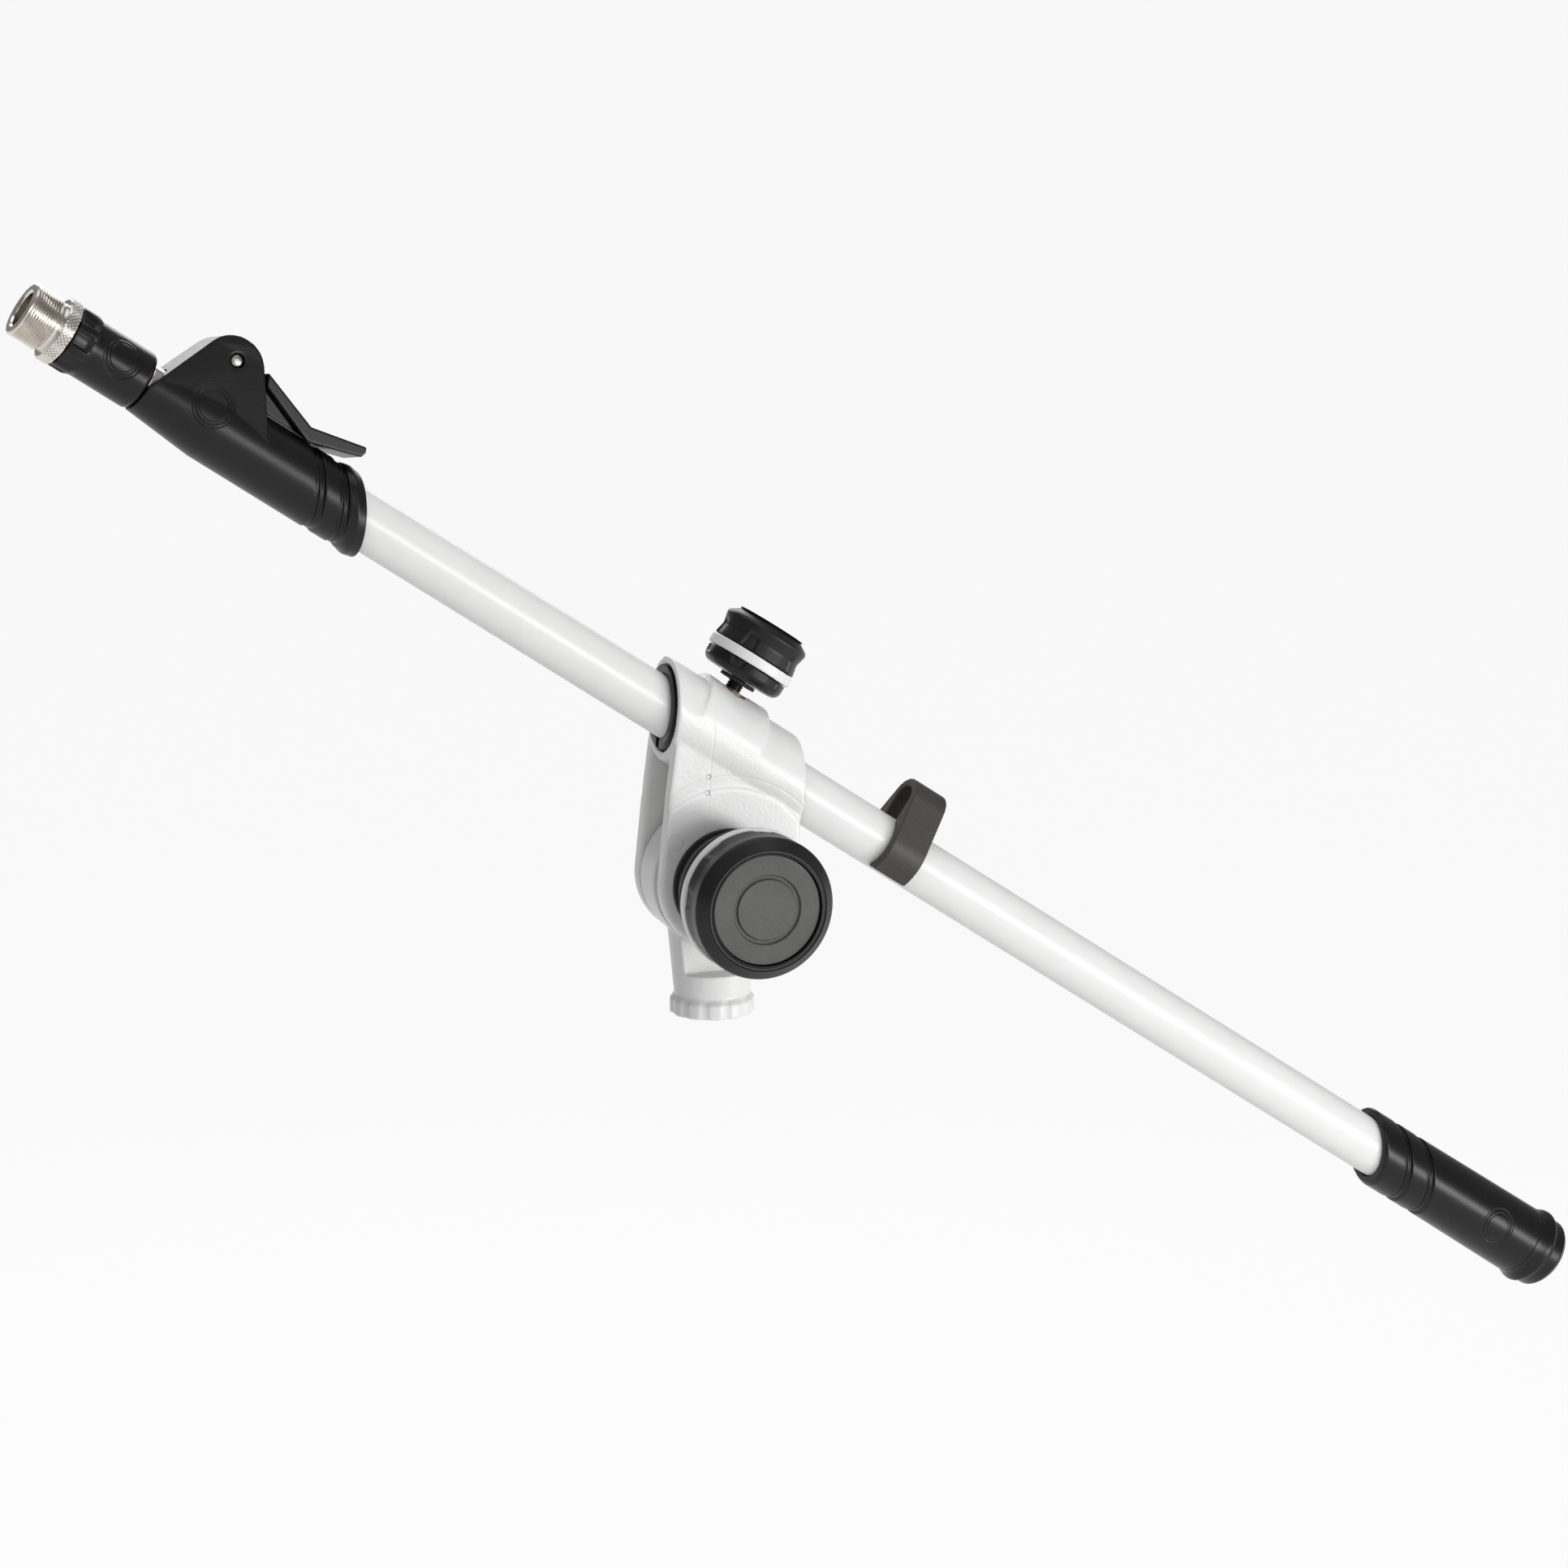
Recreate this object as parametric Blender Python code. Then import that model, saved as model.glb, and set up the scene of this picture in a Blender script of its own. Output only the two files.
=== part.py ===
"""A small boom arm for a microphone stand: post, swivel clamp, sliding tube and quick-release end.

Lengths are in millimetres and are turned into metres when a mesh is made. The world's Z is the
stand's axis and its origin is the middle of the collar's open end. The boom lies in the XZ plane,
with the microphone's end towards -X, and is shown tilted and a little rolled, as in use. Each moving
group hangs from an empty on its joint's axis, and shapes are written in that empty's own axes.
"""

import math

import bmesh
import bpy
from mathutils import Matrix, Vector

MM = 0.001
CLEARANCE = 0.3
STEPS = 36
SMALL_STEPS = 20

# Where the post, the pivot and the boom stand. The boom's lengths are measured along the tube, and
# places on it are counted from the foot of the line that runs from the pivot square to the tube.
TIP_REACH = 255.4
TAIL_REACH = 313.0
PIVOT_HEIGHT = 40.3
AXIS_OFFSET = 33.3
BOOM_TILT = math.radians(34.0)
BOOM_ROLL = math.radians(-10.5)
CUT_SLOPE = math.tan(math.radians(28.0))

# Post
COLLAR_R = 12.2
COLLAR_HEIGHT = 4.3
COLLAR_CHAMFER = 1.5
NECK_R = 10.8
NECK_TOP_R = 12.9
TANG_R = 19.6
TANG_THICKNESS = 11.0
FLAT_FLOOR = 12.5
STAND_THREAD_R = 7.95
STAND_INSERT_R = 9.6
STAND_INSERT_LENGTH = 9.6
STAND_INSERT_INSET = 0.6

# Pivot hardware
BOLT_R = 3.9
BOLT_HEAD_ACROSS = 13.0
BOLT_HEAD_THICKNESS = 5.0
BOLT_REACH = 41.0
DISC_R = 15.5
DISC_THICKNESS = 1.5

# Boom tube and its liner
TUBE_R = 8.0
TUBE_WALL = 1.2
LINER_THICKNESS = 2.3
LINER_SLIT = 2.4
LINER_LIP = 1.0
SLEEVE_FRONT = -33.0
SLEEVE_REAR = 0.0
SLEEVE_THICKNESS = 0.8

# Clamp head
BARREL_FRONT = -39.6
BARREL_REAR = 6.4
BARREL_WALL = 2.2
SADDLE_FRONT = -33.6
SADDLE_REAR = -12.6
SADDLE_RISE = 1.8
EAR_THICKNESS = 4.2
EAR_R = 19.4
EAR_WAIST = (-28.8, 13.0)
EAR_SHOULDER = (12.9, 21.4)
PAD_R = 27.5
PAD_RISE = 0.6
EDGE_INSET = 0.99
EDGE_CHAMFER = 0.4
NUT_BOSS_R = 12.0
NUT_BOSS_REACH = 17.4

# Pivot knob, measured outwards from the boom's plane
WASHER_THICKNESS = 1.5
PIVOT_WASHER_R = 16.2
PIVOT_SKIRT_BACK_R = 15.5
PIVOT_SKIRT_R = 19.9
PIVOT_SKIRT_LENGTH = 16.5
PIVOT_RIM_R = 20.6
PIVOT_RUBBER_LENGTH = 12.2
PIVOT_RUBBER_FOOT_R = 20.3
PIVOT_RUBBER_WAIST_R = 20.0
PIVOT_RUBBER_CREST_R = 20.4
PIVOT_RUBBER_FRONT_R = 17.8
PIVOT_BEVEL = 3.4
PIVOT_HUB_R = 11.7
PIVOT_DISC_R = 15.6
PIVOT_DISC_THICKNESS = 1.8
PIVOT_DISC_SINK = 1.0
PIVOT_INSERT_R = 6.3
PIVOT_INSERT_LENGTH = 12.0

# Clamp knob, measured outwards from the boom's axis
SCREW_ALONG = -24.5
SCREW_R = 2.45
SCREW_TIP = 12.65
CLAMP_WASHER_R = 5.5
CLAMP_WASHER_LOW = 17.0
CLAMP_WASHER_THICKNESS = 1.0
CLAMP_SKIRT_R = 12.4
CLAMP_SKIRT_LENGTH = 4.5
CLAMP_SKIRT_ROUNDING = 2.5
CLAMP_RIM_R = 13.1
CLAMP_RUBBER_LENGTH = 9.8
CLAMP_RUBBER_FOOT_R = 12.8
CLAMP_RUBBER_WAIST_R = 12.1
CLAMP_RUBBER_CREST_R = 12.9
CLAMP_RUBBER_FRONT_R = 9.8
CLAMP_BEVEL = 2.9
CLAMP_HUB_R = 7.0
CLAMP_DISC_R = 8.6
CLAMP_DISC_THICKNESS = 1.2
CLAMP_DISC_SINK = 0.6
CLAMP_INSERT_R = 4.6
CLAMP_INSERT_LENGTH = 2.9
SCREW_GRIP = 2.0
RIM_THICKNESS = 3.0

# Quick-release housing
HOUSING_LENGTH = 69.6
HOUSING_R = 10.2
HOUSING_NOSE_R = 8.3
HOUSING_TAIL_R = 10.9
HOUSING_TAPER = 21.0
GROOVES_FROM_REAR = (15.1, 7.1)
GROOVE_WIDTH = 2.4
GROOVE_DEPTH = 0.8
TUBE_SEAT_DEPTH = 30.0
PIN_DEPTH = 18.0
PIN_HEIGHT = 17.4
PIN_R = 1.8
CHEEK_DRAFT = math.radians(6.9)
CHEEK_AHEAD_OF_PIN = 0.2
CHEEK_BELOW_PIN = 2.4
CHEEK_R = 9.0
CHEEK_FOOT_DROP = 1.3
CHEEK_FRONT_SLOPE = 0.486
CHEEK_LENGTH = 36.6
LEVER_WIDTH = 7.4
LEVER_HUB_R = 5.4
LEVER_LOBE_WIDTH = 6.4
LEVER_LOBE_LIFT = 0.35
LEVER_ARM_WIDTH = 13.8
LEVER_ARM_LIFT = 0.5
LEVER_NECK = ((7.6, -1.2), (13.0, -1.8), (13.0, 0.3))
LEVER_SHOULDER = ((10.8, -1.4), (9.5, 2.0))
LEVER_BEND_TOP = (27.2, -4.4)
LEVER_TIP = ((43.6, -1.0), (44.2, -2.4), (43.6, -4.1))
LEVER_BEND_UNDER = (28.2, -8.5)

# Adapter
STEM_R = 6.0
STEM_DEPTH = 27.5
STUD_R = 4.75
STUD_INSET = 5.4
CAP_LENGTH = 24.0
CAP_GRIP_R = 9.2
CAP_R = 8.4
CAP_GRIP_LENGTH = 4.5
THREAD_R = 7.94
THREAD_LENGTH = 8.7
THREAD_RELIEF = 1.3
THREAD_RELIEF_R = 7.2
KNURL_R = 9.35
KNURL_LENGTH = 3.8

# Rear grip and its end cap
GRIP_LENGTH = 64.4
GRIP_R = 10.6
GRIP_REAR_R = 11.0
GRIP_GROOVES_FROM_FRONT = (9.8, 19.0)
BEAD_R = 12.1
BEAD_LENGTH = 7.9
END_CAP_R = 11.0
END_CAP_LENGTH = 13.7
END_CAP_ROUNDING = 5.6
END_CAP_DISH = 0.4
PLUG_LENGTH = 9.0
PLUG_LEAD = 0.8

# Cable clip
CLIP_ALONG = 44.5
CLIP_WIDTH = 11.4
CLIP_OUTER_R = 11.2
CLIP_LOOP_R = 6.6
CLIP_WALL = 2.4
CLIP_LOOP_HEIGHT = 14.2
CLIP_MOUTH = -7.5

# Places along the boom and sizes that follow from the ones above
THREAD_FRONT = -TIP_REACH
STUD_FRONT = THREAD_FRONT + STUD_INSET
CAP_FRONT = THREAD_FRONT + THREAD_LENGTH + THREAD_RELIEF + KNURL_LENGTH + CLEARANCE
HOUSING_FRONT = CAP_FRONT + CAP_LENGTH + CLEARANCE
HOUSING_REAR = HOUSING_FRONT + HOUSING_LENGTH
TUBE_SEAT = HOUSING_FRONT + TUBE_SEAT_DEPTH
TUBE_FRONT = TUBE_SEAT + CLEARANCE
STEM_REAR = HOUSING_FRONT + STEM_DEPTH
PIN_ALONG = HOUSING_FRONT + PIN_DEPTH
CHEEK_ROUND = (PIN_ALONG - CHEEK_AHEAD_OF_PIN, PIN_HEIGHT - CHEEK_BELOW_PIN)
CHEEK_FRONT_FOOT = (HOUSING_FRONT, -CHEEK_FOOT_DROP)
CHEEK_REAR_FOOT = HOUSING_FRONT + CHEEK_LENGTH
END_CAP_FRONT = TAIL_REACH - END_CAP_LENGTH
GRIP_REAR = END_CAP_FRONT - CLEARANCE
GRIP_FRONT = GRIP_REAR - GRIP_LENGTH
EAR_INNER = TANG_THICKNESS / 2 + DISC_THICKNESS + 2 * CLEARANCE
EAR_OUTER = EAR_INNER + EAR_THICKNESS
PAD_OUTER = EAR_OUTER + PAD_RISE
BOLT_HOLE_R = BOLT_R + CLEARANCE
TUBE_BORE_R = TUBE_R + CLEARANCE
SLEEVE_R = TUBE_BORE_R + SLEEVE_THICKNESS
LINER_R = TUBE_BORE_R + LINER_THICKNESS
BARREL_BORE_R = LINER_R + CLEARANCE
BARREL_R = BARREL_BORE_R + BARREL_WALL
SADDLE_TOP = BARREL_R + SADDLE_RISE
STEM_BORE_R = STEM_R + CLEARANCE
STUD_BORE_R = STUD_R + CLEARANCE
PIVOT_SKIRT_BACK = PAD_OUTER + WASHER_THICKNESS + 2 * CLEARANCE
CLAMP_SKIRT_BACK = CLAMP_WASHER_LOW + CLAMP_WASHER_THICKNESS + CLEARANCE

# Colours as (red, green, blue), roughness, metallic
WHITE_PAINT = ((0.86, 0.86, 0.85), 0.38, 0.0)
BLACK_PLASTIC = ((0.030, 0.030, 0.032), 0.42, 0.0)
DARK_RUBBER = ((0.055, 0.055, 0.057), 0.62, 0.0)
GREY_FACE = ((0.16, 0.16, 0.155), 0.70, 0.0)
CLIP_PLASTIC = ((0.10, 0.098, 0.092), 0.48, 0.0)
NICKEL = ((0.78, 0.75, 0.70), 0.20, 1.0)
STEEL = ((0.55, 0.55, 0.56), 0.30, 1.0)
DARK_STEEL = ((0.10, 0.09, 0.085), 0.45, 1.0)
BRASS = ((0.70, 0.56, 0.28), 0.35, 1.0)
FIBRE = ((0.04, 0.04, 0.04), 0.80, 0.0)


def clear_scene():
    """Removes whatever the scene holds."""
    for obj in list(bpy.data.objects):
        bpy.data.objects.remove(obj, do_unlink=True)


def joint_empty(name, parent, place):
    """An empty whose axes are those of a moving group. place is in millimetres, under the parent."""
    empty = bpy.data.objects.new(name, None)
    empty.empty_display_size = 10 * MM
    bpy.context.scene.collection.objects.link(empty)
    empty.parent = parent
    moved, turned_by, _ = place.decompose()
    empty.location = moved * MM
    empty.rotation_mode = "QUATERNION"
    empty.rotation_quaternion = turned_by
    return empty


def painted(name, finish):
    """A Principled material of one colour, roughness and metallic value."""
    colour, roughness, metallic = finish
    material = bpy.data.materials.new(name + "_finish")
    material.use_nodes = True
    shader = material.node_tree.nodes["Principled BSDF"]
    shader.inputs["Base Color"].default_value = (*colour, 1.0)
    shader.inputs["Roughness"].default_value = roughness
    shader.inputs["Metallic"].default_value = metallic
    return material


def solid(name, shape, parent, finish=None):
    """Makes an object of a bmesh written in millimetres. With no finish it is a hidden tool."""
    bmesh.ops.recalc_face_normals(shape, faces=shape.faces)
    bmesh.ops.scale(shape, vec=(MM, MM, MM), verts=shape.verts)
    mesh = bpy.data.meshes.new(name)
    shape.to_mesh(mesh)
    shape.free()
    obj = bpy.data.objects.new(name, mesh)
    bpy.context.scene.collection.objects.link(obj)
    obj.parent = parent
    if finish is None:
        obj.hide_render = True
        obj.display_type = "WIRE"
    else:
        mesh.materials.append(painted(name, finish))
    return obj


def turned(outline, steps=STEPS, closed=True):
    """A shape turned about X from (along, radius) points.

    A third value slopes a point's ring, so that it lies further forward the higher it is. A closed
    outline makes a ring, and an open one gets a flat face at each end.
    """
    shape = bmesh.new()
    angles = [2 * math.pi * step / steps for step in range(steps)]
    rings = []
    for along, radius, *slope in outline:
        lean = slope[0] if slope else 0.0
        ring = []
        for angle in angles:
            side = radius * math.sin(angle)
            up = radius * math.cos(angle)
            ring.append(shape.verts.new((along - lean * up, side, up)))
        rings.append(ring)
    pairs = list(zip(rings, rings[1:]))
    if closed:
        pairs.append((rings[-1], rings[0]))
    else:
        shape.faces.new(rings[0])
        shape.faces.new(rings[-1])
    for here, there in pairs:
        for step in range(steps):
            following = (step + 1) % steps
            shape.faces.new((here[step], here[following], there[following], there[step]))
    return shape


def tube_shape(low, high, outer, inner, steps=STEPS, low_slope=0.0, high_slope=0.0):
    """A plain ring along X, with ends that may slope."""
    outline = [
        (low, outer, low_slope),
        (high, outer, high_slope),
        (high, inner, high_slope),
        (low, inner, low_slope),
    ]
    return turned(outline, steps)


def rod_shape(low, high, radius, steps=STEPS):
    """A plain rod along X."""
    return turned([(low, radius), (high, radius)], steps, closed=False)


def prism(outline, low, high, along="Y"):
    """Extrudes an outline along Y, from (x, z) points, or along X, from (y, z) points."""
    shape = bmesh.new()

    def corner(u, v, depth):
        return (u, depth, v) if along == "Y" else (depth, u, v)

    near = [shape.verts.new(corner(u, v, low)) for u, v in outline]
    far = [shape.verts.new(corner(u, v, high)) for u, v in outline]
    shape.faces.new(near)
    shape.faces.new(far)
    for first in range(len(outline)):
        second = (first + 1) % len(outline)
        shape.faces.new((near[first], near[second], far[second], far[first]))
    return shape


def box(low, high):
    """A block between two corners."""
    (x0, y0, z0), (x1, y1, z1) = low, high
    return prism([(x0, z0), (x1, z0), (x1, z1), (x0, z1)], y0, y1)


def turned_to(shape, direction, at=(0.0, 0.0, 0.0)):
    """Turns a shape made along X to lie along a direction, and moves it."""
    turn = Vector((1.0, 0.0, 0.0)).rotation_difference(Vector(direction)).to_matrix().to_4x4()
    bmesh.ops.transform(shape, matrix=Matrix.Translation(at) @ turn, verts=shape.verts)
    return shape


def arc(centre, radius, start, end, points):
    """Points on a circle between two angles in degrees."""
    angles = [math.radians(start + (end - start) * i / (points - 1)) for i in range(points)]
    return [(centre[0] + radius * math.cos(a), centre[1] + radius * math.sin(a)) for a in angles]


def tangent_angle(point, centre, radius, side):
    """The angle, in degrees, at which a line from the point touches the circle."""
    gap = Vector(point) - Vector(centre)
    return math.degrees(math.atan2(gap.y, gap.x) + side * math.acos(radius / gap.length))


def combined(obj, operation, shape):
    """Adds a shape to an object, cuts it away or keeps only what they share."""
    tool = solid(f"{obj.name}_tool_{len(obj.modifiers) + 1}", shape, obj.parent)
    step = obj.modifiers.new(operation.lower(), "BOOLEAN")
    step.operation = operation
    step.solver = "EXACT"
    step.object = tool


def joined(obj, shape):
    combined(obj, "UNION", shape)


def cut(obj, shape):
    combined(obj, "DIFFERENCE", shape)


def rounded_rod(length, radius, rounding, steps):
    """A rod from 0 to length along X whose far edge is rounded off."""
    edge = arc((length - rounding, radius - rounding), rounding, 90, 0, 4)
    return turned([(0.0, radius), *edge], steps, closed=False)


def make_post(stand):
    """The cast post: a collar for the stand, a neck with two flats, and a round tang."""
    chamfer_top = COLLAR_HEIGHT + COLLAR_CHAMFER
    neck_top = PIVOT_HEIGHT - math.sqrt(TANG_R**2 - NECK_TOP_R**2) + 1.5
    outline = [
        (0.0, COLLAR_R),
        (COLLAR_HEIGHT, COLLAR_R),
        (chamfer_top, NECK_R),
        (neck_top, NECK_TOP_R),
    ]
    post = solid("swivel_post", turned_to(turned(outline, closed=False), (0, 0, 1)), stand, WHITE_PAINT)
    half = TANG_THICKNESS / 2
    tang = prism(arc((0.0, PIVOT_HEIGHT), TANG_R, 0, 350, 36), -half, half)
    wide = 2 * TANG_R
    for side in (-1, 1):
        flat = sorted((side * half, side * wide))
        cut(post, box((-wide, flat[0], FLAT_FLOOR), (wide, flat[1], PIVOT_HEIGHT)))
    joined(post, tang)
    cut(post, turned_to(rod_shape(-wide, wide, BOLT_HOLE_R, SMALL_STEPS), (0, 1, 0), (0, 0, PIVOT_HEIGHT)))
    socket_top = STAND_INSERT_INSET + STAND_INSERT_LENGTH + CLEARANCE
    cut(post, turned_to(rod_shape(-1.0, socket_top, STAND_INSERT_R + CLEARANCE), (0, 0, 1)))
    insert_top = STAND_INSERT_INSET + STAND_INSERT_LENGTH
    insert = tube_shape(STAND_INSERT_INSET, insert_top, STAND_INSERT_R, STAND_THREAD_R)
    solid("stand_insert", turned_to(insert, (0, 0, 1)), stand, BRASS)


def ear_outline():
    """One ear of the clamp head, seen from the side, from the barrel's front down round the pivot."""
    drop = 0.6 * BARREL_R
    front = BARREL_FRONT + CUT_SLOPE * drop + 0.5
    rear = BARREL_REAR + CUT_SLOPE * drop - 0.5
    root = AXIS_OFFSET - drop
    inside = AXIS_OFFSET - 0.2 * BARREL_R
    start = tangent_angle(EAR_WAIST, (0, 0), EAR_R, 1)
    end = tangent_angle(EAR_SHOULDER, (0, 0), EAR_R, -1)
    round_end = arc((0, 0), EAR_R, start % 360, end % 360 + 360, 20)
    top = [(rear - 2.0, inside), (front, inside)]
    return [(front, root), EAR_WAIST, *round_end, EAR_SHOULDER, (rear, root), *top]


def make_head(head):
    """The cast clamp head: a sloped barrel with a saddle, and two ears that straddle the tang."""
    at_axis = (0.0, 0.0, AXIS_OFFSET)
    ends = [(BARREL_FRONT, BARREL_R, CUT_SLOPE), (BARREL_REAR, BARREL_R, CUT_SLOPE)]
    barrel = turned(ends, closed=False)
    body = solid("clamp_head", turned_to(barrel, (1, 0, 0), at_axis), head, WHITE_PAINT)
    saddle = rod_shape(SADDLE_FRONT, SADDLE_REAR, BARREL_R - 0.1)
    joined(body, turned_to(saddle, (1, 0, 0), (0, 0, AXIS_OFFSET + SADDLE_RISE + 0.1)))
    for side in (-1, 1):
        joined(body, prism(ear_outline(), *sorted((side * EAR_INNER, side * EAR_OUTER))))
        joined(body, pad_shape(side))
    joined(body, turned_to(rod_shape(EAR_INNER + 1, NUT_BOSS_REACH, NUT_BOSS_R), (0, 1, 0)))
    bore = turned_to(rod_shape(-80.0, 80.0, BARREL_BORE_R), (1, 0, 0), at_axis)
    cut(body, bore)
    reach = NUT_BOSS_REACH + 5
    cut(body, turned_to(rod_shape(-reach, reach, BOLT_HOLE_R, SMALL_STEPS), (0, 1, 0)))
    pocket = hexagon(BOLT_HEAD_ACROSS + 2 * CLEARANCE)
    cut(body, prism(pocket, NUT_BOSS_REACH - BOLT_HEAD_THICKNESS - CLEARANCE, NUT_BOSS_REACH + 5))
    insert_hole = rod_shape(0.5 * BARREL_R, 2 * BARREL_R, CLAMP_INSERT_R + CLEARANCE, SMALL_STEPS)
    cut(body, turned_to(insert_hole, (0, 0, 1), (SCREW_ALONG, 0, AXIS_OFFSET)))


def pad_shape(side):
    """The raised pad on an ear: a disc about the pivot that ends just inside the ear's edge."""
    ear = [(EDGE_INSET * u, EDGE_INSET * v) for u, v in ear_outline()]
    low, high = sorted((side * (EAR_OUTER - 1.0), side * PAD_OUTER))
    return prism(kept_within(ear, PAD_R), low, high)


def kept_within(outline, radius):
    """The part of an outline within a circle about the origin, where it crosses the circle twice."""
    inside = [math.hypot(u, v) < radius for u, v in outline]
    start = next(i for i in range(len(outline)) if inside[i] and not inside[i - 1])
    ordered = outline[start:] + outline[:start]
    kept = [point for point in ordered if math.hypot(*point) < radius]
    entry = crossing(kept[0], ordered[-1], radius)
    leaving = crossing(kept[-1], ordered[len(kept)], radius)
    return [*kept, *arc((0, 0), radius, leaving, entry, 10)]


def crossing(inner, outer, radius):
    """The angle, in degrees, at which a line from an inner to an outer point crosses a circle."""
    a = Vector(inner)
    step = Vector(outer) - a
    half_b = a.dot(step)
    root = math.sqrt(half_b**2 - step.length_squared * (a.length_squared - radius**2))
    point = a + step * ((root - half_b) / step.length_squared)
    return math.degrees(math.atan2(point.y, point.x))


def hexagon(across):
    """A hexagon of a size across its flats, about the origin."""
    return arc((0, 0), across / math.sqrt(3), 0, 300, 6)


def make_pivot_hardware(head):
    """The bolt through both ears and the tang, and the friction discs beside the tang."""
    head_inner = NUT_BOSS_REACH - BOLT_HEAD_THICKNESS
    bolt = solid("pivot_bolt", prism(hexagon(BOLT_HEAD_ACROSS), head_inner, NUT_BOSS_REACH), head, STEEL)
    joined(bolt, turned_to(rod_shape(-head_inner - 1.0, BOLT_REACH, BOLT_R, SMALL_STEPS), (0, -1, 0)))
    low = TANG_THICKNESS / 2 + CLEARANCE
    for name, side in (("friction_disc_near", -1), ("friction_disc_far", 1)):
        disc = tube_shape(low, low + DISC_THICKNESS, DISC_R, BOLT_HOLE_R)
        solid(name, turned_to(disc, (0, side, 0)), head, FIBRE)


def knob_core(back, rim_low, top, hub_r, rim_r, bore_r, bore_top):
    """A knob's hub, bored from below, with the rim that shows between skirt and rubber."""
    rim_high = rim_low + RIM_THICKNESS
    outline = [
        (bore_top, bore_r),
        (back, bore_r),
        (back, hub_r),
        (rim_low, hub_r),
        (rim_low, rim_r - EDGE_CHAMFER),
        (rim_low + EDGE_CHAMFER, rim_r),
        (rim_high - EDGE_CHAMFER, rim_r),
        (rim_high, rim_r - EDGE_CHAMFER),
        (rim_high, hub_r),
        (top, hub_r),
    ]
    return turned(outline, closed=False)


def knob_rubber(back, front, bore, seat, sink, radii, bevel):
    """The soft ring in front of a knob's rim, waisted, with a bevelled front and a seat for the disc.

    radii are those of its foot, waist, crest and front edge.
    """
    foot, waist, crest, edge = radii
    shoulder = front - bevel
    return turned(
        [
            (back, bore),
            (back, foot - EDGE_CHAMFER),
            (back + EDGE_CHAMFER, foot),
            ((back + shoulder) / 2, waist),
            (shoulder, crest),
            (shoulder + 2 * EDGE_CHAMFER, crest - EDGE_CHAMFER),
            (front - EDGE_CHAMFER, edge),
            (front, edge - EDGE_CHAMFER),
            (front, seat),
            (front - sink, seat),
            (front - sink, bore),
        ]
    )


def knob_disc(front, radius, thickness):
    """The face disc of a knob, with its outer edge rounded."""
    disc = rounded_rod(thickness, radius, EDGE_CHAMFER, STEPS)
    return turned_to(disc, (1, 0, 0), (front - thickness, 0, 0))


def make_pivot_knob(carrier, knob):
    """The large bell-shaped knob on the pivot bolt, with its washer and its brass thread."""
    washer_low = PAD_OUTER + CLEARANCE
    washer = tube_shape(washer_low, washer_low + WASHER_THICKNESS, PIVOT_WASHER_R, BOLT_HOLE_R)
    solid("pivot_washer", washer, carrier, FIBRE)
    back = PIVOT_SKIRT_BACK
    skirt_front = back + PIVOT_SKIRT_LENGTH
    rim_low = skirt_front + CLEARANCE
    rubber_back = rim_low + RIM_THICKNESS + CLEARANCE
    front = rubber_back + PIVOT_RUBBER_LENGTH
    sink = PIVOT_DISC_SINK + PIVOT_DISC_THICKNESS
    hub_top = front - sink - CLEARANCE
    bore = PIVOT_HUB_R + CLEARANCE
    skirt = turned(
        [
            (back, bore),
            (back, PIVOT_SKIRT_BACK_R - EDGE_CHAMFER),
            (back + EDGE_CHAMFER, PIVOT_SKIRT_BACK_R),
            (skirt_front - 2.0, PIVOT_SKIRT_R),
            (skirt_front - 0.8, PIVOT_SKIRT_R - 0.1),
            (skirt_front, PIVOT_SKIRT_R - 0.8),
            (skirt_front, bore),
        ]
    )
    solid("pivot_knob_skirt", skirt, knob, BLACK_PLASTIC)
    insert_bore = PIVOT_INSERT_R + CLEARANCE
    bore_top = BOLT_REACH + 2 * CLEARANCE
    core = knob_core(back, rim_low, hub_top, PIVOT_HUB_R, PIVOT_RIM_R, insert_bore, bore_top)
    solid("pivot_knob_core", core, knob, WHITE_PAINT)
    insert = tube_shape(back, back + PIVOT_INSERT_LENGTH, PIVOT_INSERT_R, BOLT_HOLE_R, SMALL_STEPS)
    solid("pivot_knob_insert", insert, knob, BRASS)
    radii = (PIVOT_RUBBER_FOOT_R, PIVOT_RUBBER_WAIST_R, PIVOT_RUBBER_CREST_R, PIVOT_RUBBER_FRONT_R)
    seat = PIVOT_DISC_R + CLEARANCE
    rubber = knob_rubber(rubber_back, front, bore, seat, sink, radii, PIVOT_BEVEL)
    solid("pivot_knob_rubber", rubber, knob, DARK_RUBBER)
    disc = knob_disc(front - PIVOT_DISC_SINK, PIVOT_DISC_R, PIVOT_DISC_THICKNESS)
    solid("pivot_knob_disc", disc, knob, GREY_FACE)


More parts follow.
